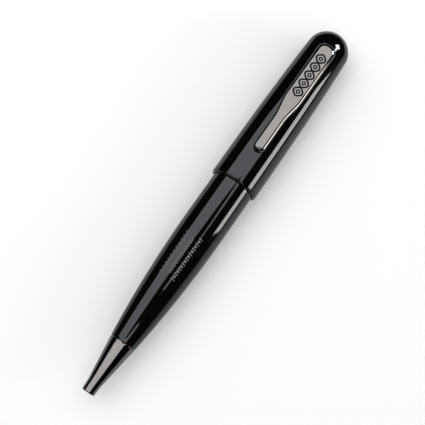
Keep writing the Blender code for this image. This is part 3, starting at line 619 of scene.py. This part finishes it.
@dataclass
class LowerBarrel:
    """The resin barrel: a curved swell from the nose cone to its belly, and nearly level from there."""

    axis: Axis
    front: float = 17.7
    belly: float = 62.0
    belly_distance: float = 44.4
    rear: float = 77.8
    joint_radius: float = 4.225
    belly_radius: float = 6.9
    rear_radius: float = 6.865
    power: float = 2.06
    front_rounding: float = 0.14
    rear_rounding: float = 0.10
    front_bore: float = 3.65
    bush_seat: tuple[float, float] = (21.55, 4.2)
    liner_seat: tuple[float, float] = (28.95, 4.95)

    def radius(self, station: float) -> float:
        """Outer radius at a station.

        Args:
            station: The distance from the nose end.

        Returns:
            The radius.
        """
        if station >= self.belly:
            share = (station - self.belly) / (self.rear - self.belly)
            return self.belly_radius + (self.rear_radius - self.belly_radius) * share
        share = (self.belly - station) / self.belly_distance
        return self.belly_radius - (self.belly_radius - self.joint_radius) * share**self.power

    def outline(self) -> list[Point]:
        """Outline of the barrel's section, from its rear over the outside and back by the seats.

        Returns:
            Its corners.
        """
        front_edge = self.joint_radius - self.front_rounding
        rear_edge = self.rear_radius - self.rear_rounding
        stations = evenly(self.rear - 2 * self.rear_rounding, self.front + 2 * self.front_rounding, 56)
        return [
            *rounding(self.rear - self.rear_rounding, rear_edge, self.rear_rounding, 0, 90, 4),
            *((s, self.radius(s)) for s in stations),
            *rounding(self.front + self.front_rounding, front_edge, self.front_rounding, 95, 180, 6),
            (self.front, self.front_bore),
            (self.bush_seat[0], self.front_bore),
            self.bush_seat,
            (self.liner_seat[0], self.bush_seat[1]),
            self.liner_seat,
            (self.rear, self.liner_seat[1]),
        ]

    def build(self) -> None:
        """Models and polishes the barrel."""
        barrel = turned(self.axis, "lower_barrel_polished", self.outline())
        dress(barrel, RESIN)
        hand_over(barrel, Body.BARREL, Slot.RESIN, "lower_barrel")


@dataclass
class BarrelPrint:
    """Three rows of small geometric ornament, printed on the barrel in pewter-grey ink."""

    axis: Axis
    barrel: LowerBarrel
    middle: float = 48.2
    length: float = 15.4
    row_angles: tuple[float, float, float] = (24.4, 5.4, -13.8)  # degrees from the top, towards +Y
    row_height: float = 1.35
    bold_row: int = 2
    stroke: float = 0.19
    lift: float = 0.012  # of the ink's face above the resin
    sink: float = 0.02  # of the ink's back into the resin, so that no gap shows
    lozenges: int = 11
    lozenge_share: float = 0.42  # half a lozenge's length in its pitch
    waves: int = 6
    wave_steps: int = 12
    wave_share: float = 0.8  # of the row's length and height
    dashes: int = 17
    dash_lean: float = 0.12  # half a dash's slant in its pitch
    eye_reach: float = 0.28  # half the length of the eyes between the dashes, in the pitch
    eye_share: float = 0.6  # of the row's height

    def wrap(self, obj: bpy.types.Object, angle: float) -> None:
        """Rolls a flat stroke onto the barrel.

        Args:
            obj: A mesh whose X is along the pen, Y across the row and Z its lift, in metres.
            angle: The row's place around the barrel in degrees.
        """
        for vertex in obj.data.vertices:
            along, across, lift = vertex.co / MM
            station = self.middle + along
            radius = self.barrel.radius(station)
            turn = math.radians(angle) + across / radius
            reach = radius + lift
            vertex.co = self.axis.place(station, reach * math.sin(turn), reach * math.cos(turn))

    def strokes(self, row: int) -> list[list[Point]]:
        """The lines of one row: lozenges, two crossing waves, or slanted dashes with eyes between them.

        Args:
            row: Its number, from the +Y side.

        Returns:
            For each line, its corners as distances along and across the row.
        """
        half, tall = self.length / 2, self.row_height / 2
        if row == 0:
            reach = self.length / self.lozenges * self.lozenge_share
            return [lozenge(middle, reach, tall) for middle in centres(self.length, self.lozenges)]
        if row == 1:
            length = half * self.wave_share
            return braid(length, tall * self.wave_share, self.waves * 2, self.waves * self.wave_steps + 1)
        pitch = self.length / self.dashes
        middles = centres(self.length, self.dashes)
        lean, reach, rise = pitch * self.dash_lean, pitch * self.eye_reach, tall * self.eye_share
        slanted = [[(m - lean, -tall), (m + lean, tall)] for m in middles[::2]]
        upper = [[(m - reach, 0), (m, rise), (m + reach, 0)] for m in middles[1::2]]
        lower = [[(a, -b) for a, b in spots] for spots in upper]
        return slanted + upper + lower

    def build(self) -> None:
        """Models all the strokes, halved for the bend around the barrel, and joins them into one print."""
        flat = Vector((0, 0, 0))
        pieces: list[bpy.types.Object] = []
        for row, angle in enumerate(self.row_angles):
            for spots in self.strokes(row):
                fine = [
                    (a[0] + (b[0] - a[0]) * t, a[1] + (b[1] - a[1]) * t)
                    for a, b in zip(spots, spots[1:])
                    for t in (0, 0.5)
                ]
                fine.append(spots[-1])
                stroke = ribbon("print_stroke", flat, fine, self.stroke, -self.sink, self.lift)
                self.wrap(stroke, angle)
                dress(stroke, PRINTED_INK if row == self.bold_row else THIN_INK)
                pieces.append(stroke)
        bpy.ops.object.select_all(action="DESELECT")
        for piece in pieces:
            piece.select_set(True)
        bpy.context.view_layer.objects.active = pieces[0]
        bpy.ops.object.join()
        ornament = pieces[0]
        ornament.name = ornament.data.name = "barrel_printed_ornament"
        hand_over(ornament, Body.BARREL, Slot.STEEL)


@dataclass
class Cap:
    """The turning cap: a tapering resin shell with a domed crown, and the bead ring at its mouth."""

    axis: Axis
    mouth: float = 76.2
    ring_rear: float = 76.75
    collar_rear: float = 78.35
    collar_radius: float = 7.35
    mouth_bore: float = 7.07
    mouth_chamfer: float = 0.1
    bead: float = 0.45
    front: float = 76.85
    radius_max: float = 7.86
    edge_rounding: float = 0.08
    taper_start: float = 80.0
    crown_start: float = 130.0
    crown_length: float = 6.5
    drop: float = 0.91
    power: float = 2.4
    bores: Sequence[Point] = (
        (76.85, 7.4),
        (78.45, 7.4),
        (78.45, 6.9),
        (121.2, 6.9),
        (121.2, 5.2),
        (131.3, 5.2),
    )
    screw_bore: float = 1.3
    screw_bore_rear: float = 134.4
    slot_station: float = 127.85
    slot_length: float = 1.4
    slot_width: float = 4.5
    slot_bottom: float = 4.7
    slot_top: float = 8.4

    def radius(self, station: float) -> float:
        """Outer radius at a station.

        Args:
            station: The distance from the nose end.

        Returns:
            The radius.
        """
        share = max(0.0, station - self.taper_start) / (self.crown_start - self.taper_start)
        taper = self.radius_max - self.drop * share**self.power
        rise = max(0.0, station - self.crown_start) / self.crown_length
        return taper * math.sqrt(max(0.0, 1 - rise * rise))

    def outline(self) -> list[Point]:
        """Outline of the cap's shell, from the top of the crown over the outside and back by the bores.

        Returns:
            Its corners.
        """
        angles = [math.radians(a) for a in evenly(0, 90, 30)[1:-1]]
        crown = [self.crown_start + self.crown_length * math.cos(a) for a in angles]
        sides = evenly(self.crown_start, self.front + 2 * self.edge_rounding, 48)
        edge = self.radius_max - self.edge_rounding
        return [
            (self.crown_start + self.crown_length, 0),
            *((s, self.radius(s)) for s in (*crown, *sides)),
            *rounding(self.front + self.edge_rounding, edge, self.edge_rounding, 95, 180, 5),
            *self.bores,
            (self.bores[-1][0], self.screw_bore),
            (self.screw_bore_rear, self.screw_bore),
            (self.screw_bore_rear, 0),
        ]

    def ring_outline(self) -> list[Point]:
        """Outline of the bead ring with the collar that is pressed in the cap.

        Returns:
            Its corners.
        """
        lip = self.radius_max - self.bead
        edge = self.radius_max - self.edge_rounding
        return [
            (self.collar_rear, self.collar_radius),
            (self.ring_rear, self.collar_radius),
            *rounding(self.ring_rear - self.edge_rounding, edge, self.edge_rounding, 0, 85, 5),
            *rounding(self.mouth + self.bead, lip, self.bead, 90, 180, 14),
            (self.mouth + self.mouth_chamfer, self.mouth_bore),
            (self.collar_rear, self.mouth_bore),
        ]

    def build(self) -> None:
        """Models and polishes the cap and its ring, and cuts the clip's slot."""
        cap = turned(self.axis, "cap_polished", self.outline())
        front, rear = self.slot_station - self.slot_length / 2, self.slot_station + self.slot_length / 2
        low = self.axis.place(front, -self.slot_width / 2, self.slot_bottom)
        high = self.axis.place(rear, self.slot_width / 2, self.slot_top)
        apply_boolean(cap, block("clip_slot", low, high), "DIFFERENCE")
        bpy.ops.object.shade_smooth_by_angle(angle=SHARP)
        dress(cap, RESIN)
        hand_over(cap, Body.CAP, Slot.RESIN, "cap")
        ring = turned(self.axis, "cap_mouth_ring_polished", self.ring_outline())
        dress(ring, RESIN)
        hand_over(ring, Body.CAP, Slot.RESIN, "cap_mouth_ring")


@dataclass
class Clip:
    """The plated spring clip: a bar that widens towards the crown, with an engraved ornament."""

    axis: Axis
    low_end: float = 87.2
    length: float = 41.5
    underside: float = 8.5
    thickness: float = 1.1
    narrow_width: float = 4.0
    wide_width: float = 6.1
    narrow_length: float = 12.2
    flare_length: float = 8.5
    low_rounding: float = 1.9
    top_rounding: float = 2.6
    rounding_power: float = 2.2
    shoulder_radius: float = 1.3  # of the rounded shoulder around the flat face
    shoulder_tilt: float = 76.0  # degrees from the flat face to the shoulder's outer edge
    shoulder_steps: int = 16
    belly_edge: float = 0.08
    face_margin: float = 0.03  # of flat face kept around the last step of the shoulder
    foot_setback: float = 1.7
    foot_radius: float = 1.15
    foot_rest: float = 7.96  # height of the foot's lowest point
    foot_sink: float = 0.15  # of the foot's middle in the bar
    tang_station: float = 127.85
    tang_length: float = 0.9
    tang_width: float = 4.0
    tang_bottom: float = 2.3
    tang_sink: float = 0.3  # of the tang's top in the bar
    engraving_middle: float = 116.4
    engraving_length: float = 16.2
    engraving_reach: float = 1.55
    engraving_waves: int = 5
    engraving_stroke: float = 0.56
    engraving_depth: float = 0.12
    graver_clear: float = 0.1  # of the graver's top above the face
    engraving_steps: int = 20  # in each wave
    eye_reach: float = 0.19  # half a lozenge's length in the wave's pitch
    eye_share: float = 0.4  # of the braid's reach

    def half_width(self, along: float) -> float:
        """Half the clip's width.

        Args:
            along: The distance from its low end.

        Returns:
            The half width there.
        """
        flare = min(1.0, max(0.0, (along - self.narrow_length) / self.flare_length))
        smooth = flare * flare * (3 - 2 * flare)
        half = (self.narrow_width + (self.wide_width - self.narrow_width) * smooth) / 2
        for distance, size in ((along, self.low_rounding), (self.length - along, self.top_rounding)):
            short = max(0.0, 1 - distance / size)
            half *= (1 - short**self.rounding_power) ** (1 / self.rounding_power)
        return half

    def stations(self) -> list[float]:
        """Distances from the low end at which the outline has a corner.

        Returns:
            The distances in order, close together in the roundings and the flare.
        """
        turns = [1 - math.cos(math.radians(a)) for a in (2, 6, 11, 17, 24, 32, 41, 51, 62, 75, 90)]
        low = [self.low_rounding * share for share in turns]
        flare = evenly(self.narrow_length, self.narrow_length + self.flare_length, 17)
        top = [self.length - self.top_rounding * share for share in reversed(turns)]
        return [*low, *flare, *top]

    def plate(self) -> bpy.types.Object:
        """Models the bar: drawn out edge by edge, thickened, with its shoulder inset in steps.

        Returns:
            The bar.
        """
        obj = start_mesh("clip_plated")
        along = self.stations()
        start, second = along[0], along[1]
        drop = self.shoulder_radius * (1 - math.cos(math.radians(self.shoulder_tilt)))
        top = self.underside + self.thickness - drop
        pick(obj, "verts", lambda v: v.co.x > 0)
        middle = self.axis.place(self.low_end + start, 0, top)
        bpy.ops.mesh.select_all(action="SELECT")
        bpy.ops.transform.translate(value=middle + Vector((MM / 2, 0, 0)))
        far = middle.x + MM * 0.9
        pick(obj, "verts", lambda v: v.co.x < far)
        bpy.ops.transform.resize(value=(1, 2 * self.half_width(start), 1), center_override=middle)
        pick(obj, "verts", lambda v: v.co.x > far)
        bpy.ops.transform.resize(value=(1, 2 * self.half_width(second), 1), center_override=middle)
        bpy.ops.transform.translate(value=((second - start - 1) * MM, 0, 0))
        bpy.ops.mesh.select_mode(type="EDGE")
        for here, there in zip(along[1:], along[2:]):
            bpy.ops.mesh.extrude_region_move(TRANSFORM_OT_translate={"value": ((there - here) * MM, 0, 0)})
            scale = self.half_width(there) / self.half_width(here)
            bpy.ops.transform.resize(value=(1, scale, 1), center_override=middle)
        bpy.ops.mesh.select_all(action="SELECT")
        bpy.ops.mesh.dissolve_faces()
        bpy.ops.mesh.normals_make_consistent(inside=False)
        bpy.ops.mesh.select_mode(type="FACE")
        bpy.ops.mesh.select_all(action="SELECT")
        height = self.thickness - drop - self.belly_edge
        bpy.ops.mesh.extrude_region_move(TRANSFORM_OT_translate={"value": (0, 0, -height * MM)})
        bpy.ops.mesh.inset(thickness=self.belly_edge * MM, depth=0)
        bpy.ops.transform.translate(value=(0, 0, -self.belly_edge * MM))
        level = self.axis.place(0, 0, top).z
        pick(obj, "faces", lambda f: len(f.verts) > 8 and abs(f.calc_center_median().z - level) < MERGE)
        self.round_shoulder()
        return close_mesh(obj)

    def round_shoulder(self) -> None:
        """Insets the selected face in steps that rise along an arc, up to the flat face."""
        tilts = [math.radians(a) for a in evenly(self.shoulder_tilt, 0, self.shoulder_steps + 1)]
        for steep, flat in zip(tilts, tilts[1:]):
            inward = self.shoulder_radius * (math.sin(steep) - math.sin(flat))
            rise = self.shoulder_radius * (math.cos(flat) - math.cos(steep))
            bpy.ops.mesh.inset(thickness=inward * MM, depth=0)
            bpy.ops.transform.translate(value=(0, 0, rise * MM))
        bpy.ops.mesh.inset(thickness=self.face_margin * MM, depth=0)

    def tang(self) -> bpy.types.Object:
        """The tang that goes through the cap's slot.

        Returns:
            The tang, to be joined on the bar.
        """
        front, rear = self.tang_station - self.tang_length / 2, self.tang_station + self.tang_length / 2
        low = self.axis.place(front, -self.tang_width / 2, self.tang_bottom)
        high = self.axis.place(rear, self.tang_width / 2, self.underside + self.tang_sink)
        return block("clip_tang", low, high)

    def foot(self) -> bpy.types.Object:
        """The rounded bump that rests on the cap.

        Returns:
            The foot, to be joined on the bar.
        """
        bpy.ops.object.select_all(action="DESELECT")
        height = self.underside + self.foot_sink
        middle = self.axis.place(self.low_end + self.foot_setback, 0, height)
        drop = (height - self.foot_rest) * MM
        bpy.ops.mesh.primitive_uv_sphere_add(segments=48, ring_count=24, radius=1, location=middle)
        obj = bpy.context.object
        obj.scale = (self.foot_radius * MM, self.foot_radius * MM, drop)
        bpy.ops.object.transform_apply(location=True, rotation=True, scale=True)
        return obj

    def engraving(self) -> list[list[Point]]:
        """Strokes of the ornament: a braid of two waves with a lozenge in each eye.

        Returns:
            For each stroke, its corners as distances along and across the clip from the ornament's middle.
        """
        count = self.engraving_waves * self.engraving_steps + 1
        waves = braid(self.engraving_length / 2, self.engraving_reach, self.engraving_waves, count)
        eyes = centres(self.engraving_length, self.engraving_waves)
        reach = self.engraving_length / self.engraving_waves * self.eye_reach
        tall = self.engraving_reach * self.eye_share
        return waves + [lozenge(eye, reach, tall) for eye in eyes]

    def is_engraved(self, offset: Vector) -> bool:
        """Tells whether a spot is on the floor or the walls of the engraved lines.

        Args:
            offset: How far the spot is from the ornament's middle on the flat face, in millimetres.

        Returns:
            True within the ornament's length and reach, and below the face.
        """
        long = self.engraving_length / 2 + self.engraving_stroke
        wide = self.engraving_reach + self.engraving_stroke / 2
        sure = 5 * MERGE / MM
        below = -self.engraving_depth - sure < offset.z < -sure
        return below and abs(offset.x) < long and abs(offset.y) < wide

    def build(self) -> None:
        """Models, engraves and plates the clip."""
        clip = self.plate()
        apply_boolean(clip, self.tang(), "UNION")
        apply_boolean(clip, self.foot(), "UNION")
        start = self.axis.place(self.engraving_middle, 0, self.underside + self.thickness)
        for spots in self.engraving():
            depth, clear = -self.engraving_depth, self.graver_clear
            stroke = ribbon("graver", start, spots, self.engraving_stroke, depth, clear)
            apply_boolean(clip, stroke, "DIFFERENCE")
        bpy.ops.object.shade_smooth_by_angle(angle=SHARP)
        dress(clip, CLIP_NICKEL)
        # Second material: the painted shade, black on the floors and walls of the engraved lines.
        clip.data.materials.append(ENGRAVING_PAINTED_SHADE.build())
        for polygon in clip.data.polygons:
            if self.is_engraved((polygon.center - start) / MM):
                polygon.material_index = 1
        hand_over(clip, Body.CLIP, Slot.PLATE, "clip")


@dataclass
class ReturnSpring:
    """The coil spring between the nose cone's seat and the refill's shoulder."""

    axis: Axis
    front: float = 9.3
    rear: float = 18.5
    mean_radius: float = 2.1
    wire: float = 0.18  # radius
    wire_sides: int = 16
    turns: int = 7
    steps: int = 40  # in each turn
    squashed_to: float = 0.457  # share of its length left when the point is out

    def build(self) -> None:
        """Winds the wire by screwing its round section about the axis."""
        bpy.ops.object.select_all(action="DESELECT")
        bpy.ops.mesh.primitive_circle_add(
            vertices=self.wire_sides,
            radius=self.wire * MM,
            fill_type="NOTHING",
            rotation=(math.pi / 2, 0, 0),
        )
        spring = bpy.context.object
        spring.name = spring.data.name = "return_spring_coil"
        spring.location = (self.mean_radius * MM, 0, 0)
        bpy.ops.object.transform_apply(location=True, rotation=True, scale=True)
        first, last = self.front + self.wire, self.rear - self.wire
        screw = spring.modifiers.new("wind", "SCREW")
        screw.axis = "Z"
        screw.steps = screw.render_steps = self.steps
        screw.iterations = self.turns
        screw.screw_offset = (last - first) / self.turns * MM
        bpy.ops.object.modifier_apply(modifier=screw.name)
        lie_down = Matrix.Rotation(math.pi / 2, 4, "Y")
        spring.matrix_world = Matrix.Translation(self.axis.place(first)) @ lie_down
        bpy.ops.object.transform_apply(location=True, rotation=True, scale=True)
        bpy.ops.object.mode_set(mode="EDIT")
        pick(spring, "edges", lambda e: e.is_boundary)
        bpy.ops.mesh.edge_face_add()
        close_mesh(spring)
        dress(spring, STEEL)
        hand_over(spring, Body.BARREL, Slot.STEEL, "return_spring")
        anchor = self.axis.place(self.front)
        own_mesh(spring)


@dataclass
class WritingPoint:
    """The refill's brass point with its socket, and the ball that it holds."""

    axis: Axis
    front: float = 1.6
    ball_radius: float = 0.35
    ball_gap: float = 0.03
    lip_depth: float = 0.12  # of the ball's middle behind the lip
    lip_wall: float = 0.06
    lip_length: float = 0.35
    cone_length: float = 2.8
    groove: Sequence[Point] = ((0.8, 0), (0.9, 0.06), (1.1, 0.06), (1.2, 0))  # behind the cone, and deep
    radius: float = 1.15
    length: float = 10.0
    spigot_radius: float = 0.9
    spigot_length: float = 3.0
    spigot_chamfer: float = 0.1
    shoulder_chamfer: float = 0.08
    throat: float = 0.2  # from the socket's rear to the ink hole
    ink_hole: float = 0.25

    def outline(self) -> list[Point]:
        """Outline of the point: spigot, shank, groove, cone, lip, ball socket and ink hole.

        Returns:
            Its corners.
        """
        ball_middle = self.front + self.ball_radius
        seat = self.ball_radius + self.ball_gap
        lip = ball_middle - self.lip_depth
        rear, cone_rear = self.front + self.length, self.front + self.cone_length
        return [
            (rear + self.spigot_length, self.spigot_radius - self.spigot_chamfer),
            (rear + self.spigot_length - self.spigot_chamfer, self.spigot_radius),
            (rear, self.spigot_radius),
            (rear, self.radius - self.shoulder_chamfer),
            (rear - self.shoulder_chamfer, self.radius),
            *((cone_rear + behind, self.radius - depth) for behind, depth in reversed(self.groove)),
            (cone_rear, self.radius),
            (lip + self.lip_length, seat + 3 * self.lip_wall),
            (lip, seat + self.lip_wall),
            *rounding(ball_middle, 0, seat, 108, 45, 9),
            (ball_middle + seat + self.throat, self.ink_hole),
            (rear + self.spigot_length, self.ink_hole),
        ]

    def build(self) -> None:
        """Models the turned point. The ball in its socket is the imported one."""
        point = turned(self.axis, "refill_point_turned", self.outline(), PLAIN)
        dress(point, POINT_BRASS)
        hand_over(point, Body.REFILL, Slot.POINT, "refill_point")


@dataclass
class Workings:
    """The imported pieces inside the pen, which keep their shape and get their finish."""

    kept: dict[Slot, tuple[str, ...]] = field(
        default_factory=lambda: {
            Slot.BRASS: (
                "front_bush",
                "lower_liner",
                "guide_tube",
                "coupling_ring",
                "upper_liner",
                "cam_sleeve",
                "clip_anchor",
            ),
            Slot.STEEL: ("retaining_ring", "clip_screw", "cross_pin", "refill_tube", "refill_ball"),
            Slot.NYLON: ("thrust_washer", "cam_holder", "plunger", "refill_end_plug", "refill_reducer"),
            Slot.RUBBER: ("friction_ring",),
        }
    )

    def build(self) -> None:
        """Finishes each kept node by its slot."""
        for slot, names in self.kept.items():
            for name in names:
                node = bpy.data.objects[name]
                dress_node(node, INNER_FINISHES[slot])
                LOG.info("%s: kept as packed, finished as %s", name, slot.value)


def dress_node(node: bpy.types.Object, finish: Finish) -> None:
    """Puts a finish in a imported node's material slots, without touching its mesh.

    Args:
        node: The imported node's object.
        finish: What it is finished with.
    """
    if not node.material_slots:
        node.data.materials.append(finish.build())
    for place in node.material_slots:
        place.material = finish.build()


# ---------------------------------------------------------------- studio

# Black velvet, which takes all light: for the flags.
VELVET = Finish("black_velvet", "#020202", "#030303", (0.95, 1.0))


@dataclass(frozen=True)
class Lamp:
    """A rectangular light. Distances are in millimetres.

    Attributes:
        name: The light's name.
        place: Its middle.
        aim: The point that it faces.
        size: Its width along X and its other side.
        radiance: Its brightness, where 1 is plain white.
        tint: Its colour.
        roll: Its turn about the line to its aim, in degrees.
        lights_floor: Whether it lights dull surfaces.
        mirrored: Whether polished surfaces show it.
    """

    name: str
    place: tuple[float, float, float]
    aim: tuple[float, float, float]
    size: Point
    radiance: float
    tint: str = "#fbfcff"
    roll: float = 0.0
    lights_floor: bool = True
    mirrored: bool = True

    def build(self) -> None:
        """Adds the light, turned so that its width stays as near to X as its aim allows."""
        lamp = bpy.data.lights.new(self.name, "AREA")
        lamp.shape = "RECTANGLE"
        lamp.size, lamp.size_y = self.size[0] * MM, self.size[1] * MM
        lamp.energy = self.radiance * math.pi * lamp.size * lamp.size_y
        lamp.color = linear(self.tint)[:3]
        obj = bpy.data.objects.new(self.name, lamp)
        bpy.context.scene.collection.objects.link(obj)
        back = (Vector(self.place) - Vector(self.aim)).normalized()
        side = Vector((1, 0, 0)) - back * back.x
        side.normalize()
        turn = Matrix((side, back.cross(side), back)).transposed().to_4x4()
        roll = Matrix.Rotation(math.radians(self.roll), 4, "Z")
        obj.matrix_world = Matrix.Translation(Vector(self.place) * MM) @ turn @ roll
        obj.visible_camera = False
        obj.visible_diffuse = self.lights_floor
        obj.visible_glossy = self.mirrored


@dataclass(frozen=True)
class Flag:
    """A black oval under the softbox, which darkens what the polished pieces mirror there.

    Attributes:
        name: The flag's name.
        middle: Its middle along and across the pen, in millimetres.
        reach: Its half axes.
        turn: Its turn in degrees.
    """

    name: str
    middle: Point
    reach: Point
    turn: float = 0.0

    def build(self, height: float) -> None:
        """Hangs the flag.

        Args:
            height: How high above the floor, in millimetres.
        """
        bpy.ops.object.select_all(action="DESELECT")
        bpy.ops.mesh.primitive_circle_add(vertices=48, radius=MM, fill_type="NGON")
        flag = bpy.context.object
        flag.name = flag.data.name = self.name
        place = Matrix.Translation((self.middle[0] * MM, self.middle[1] * MM, height * MM))
        turn = Matrix.Rotation(math.radians(self.turn), 4, "Z")
        flag.matrix_world = place @ turn @ Matrix.Diagonal((*self.reach, 1, 1))
        bpy.ops.object.transform_apply(location=True, rotation=True, scale=True)
        flag.visible_camera = False
        dress(flag, VELVET)


@dataclass
class Studio:
    """Pale floor, overhead softbox with flags, a low strip light, and the camera."""

    camera_place: tuple[float, float, float] = (-59.25, -10.0, 291.86)
    camera_aim: tuple[float, float, float] = (-2.69, 0.44, 7.86)
    lens: float = 79.9
    sensor_width: float = 36.0
    lean: float = 35.13  # degrees by which the pen leans to the right of upright in the picture
    floor_color: str = "#e4e4e3"
    mirror_color: str = "#b9b9b9"
    mirror_corner: Point = (115.0, 40.0)  # where the mirrored card ends
    mirror_level: float = 0.02
    floor_reach: float = 900.0
    fill: float = 0.64  # brightness of the room's stray light on dull surfaces
    mirrored_room: float = 0.3  # brightness of the dark room that polished surfaces mirror
    flag_height: float = 442.0
    lamps: Sequence[Lamp] = (
        Lamp("softbox", (22, 240, 450), (22, 240, 0), (564, 870), 2.05),
        Lamp("low_strip", (219, -600, 196), (219, 0, 196), (236, 232), 8.2, "#fffaf4"),
        Lamp("crown_light", (395, -235, 340), (60, 0, 8), (190, 190), 22, "#ffffff", 35, lights_floor=False),
        Lamp("floor_wash", (-100, -550, 450), (-20, 0, 0), (900, 500), 0.5, "#ffffff", mirrored=False),
    )
    flags: Sequence[Flag] = (
        Flag("camera_flag", (-20, -28), (132, 84), -10),
        Flag("hand_flag", (40, -62), (78, 75)),
        Flag("arm_flag", (-80, -150), (34, 110)),
    )

    def floor(self) -> None:
        """A sheet of pale card to lie on, and the greyer card beside the pen that its polish mirrors."""
        reach = self.floor_reach
        sheet = self.card("floor_card", (-reach, -reach, 0), (reach, reach, 0), self.floor_color)
        sheet.visible_glossy = False
        level = self.mirror_level
        mirrored = self.card(
            "mirrored_card", (-reach, -reach, level), (*self.mirror_corner, level), self.mirror_color
        )
        mirrored.visible_camera = mirrored.visible_diffuse = mirrored.visible_shadow = False

    def card(self, name: str, low: Sequence[float], high: Sequence[float], color: str) -> bpy.types.Object:
        """Lays one sheet of card.

        Args:
            name: The card's name.
            low: Its corner towards the nose, in millimetres.
            high: The opposite corner.
            color: Its colour.

        Returns:
            The card.
        """
        bpy.ops.object.select_all(action="DESELECT")
        middle = (Vector(low) + Vector(high)) / 2 * MM
        bpy.ops.mesh.primitive_plane_add(size=MM, location=middle)
        card = bpy.context.object
        card.name = card.data.name = name
        card.scale = (high[0] - low[0], high[1] - low[1], 1)
        bpy.ops.object.transform_apply(location=True, rotation=True, scale=True)
        dress(card, Finish("pale_" + name, color, color, (0.85, 0.95), line=0.4, drift=30.0))
        return card

    def lights(self) -> None:
        """Adds the lights, and hangs the flags under the softbox."""
        for lamp in self.lamps:
            lamp.build()
        for flag in self.flags:
            flag.build(self.flag_height)

    def world(self) -> None:
        """A room with stray light, dark where polish mirrors it and pale where the camera sees it."""
        world = bpy.data.worlds.new("studio")
        bpy.context.scene.world = world
        world.use_nodes = True
        tree = world.node_tree
        tree.nodes.clear()
        path = add_node(tree, "LightPath", {})
        seen = add_node(tree, "Background", {"Color": linear("#f7f8f8"), "Strength": self.fill})
        for ray, color, strength in (
            ("Is Glossy Ray", "#101010", self.mirrored_room),
            ("Is Camera Ray", "#f4f4f3", 1.0),
        ):
            other = add_node(tree, "Background", {"Color": linear(color), "Strength": strength})
            mix = add_node(tree, "MixShader", {}, Fac=path.outputs[ray])
            tree.links.new(seen.outputs[0], mix.inputs[1])
            tree.links.new(other.outputs[0], mix.inputs[2])
            seen = mix
        add_node(tree, "OutputWorld", {}, Surface=seen.outputs[0])

    def camera(self) -> None:
        """Places the camera above the pen, turned so that the pen leans to the right."""
        place, aim = Vector(self.camera_place), Vector(self.camera_aim)
        ahead = (aim - place).normalized()
        along = (Vector((1, 0, 0)) - ahead * ahead.x).normalized()
        across = ahead.cross(along)
        lean = math.radians(self.lean)
        up = along * math.cos(lean) - across * math.sin(lean)
        right = along * math.sin(lean) + across * math.cos(lean)
        data = bpy.data.cameras.new("camera")
        data.lens = self.lens
        data.sensor_width = self.sensor_width
        data.clip_start = 0.01
        obj = bpy.data.objects.new("camera", data)
        bpy.context.scene.collection.objects.link(obj)
        turn = Matrix((right, up, -ahead)).transposed().to_4x4()
        obj.matrix_world = Matrix.Translation(place * MM) @ turn
        bpy.context.scene.camera = obj

    def build(self) -> None:
        """Sets up everything around the pen."""
        self.floor()
        self.lights()
        self.world()
        self.camera()
        view = bpy.context.scene.view_settings
        view.view_transform = "Standard"
        view.look = "None"


def main() -> None:
    """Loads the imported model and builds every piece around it."""
    logging.basicConfig(level=logging.INFO, format="%(message)s")
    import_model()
    axis = Axis.from_frame()
    barrel = LowerBarrel(axis)
    for piece in (
        NoseCone(axis),
        barrel,
        BarrelPrint(axis, barrel),
        Cap(axis),
        Clip(axis),
        ReturnSpring(axis),
        WritingPoint(axis),
        Workings(),
        Studio(),
    ):
        LOG.info("building %s", type(piece).__name__)
        piece.build()


if __name__ == "__main__":
    main()
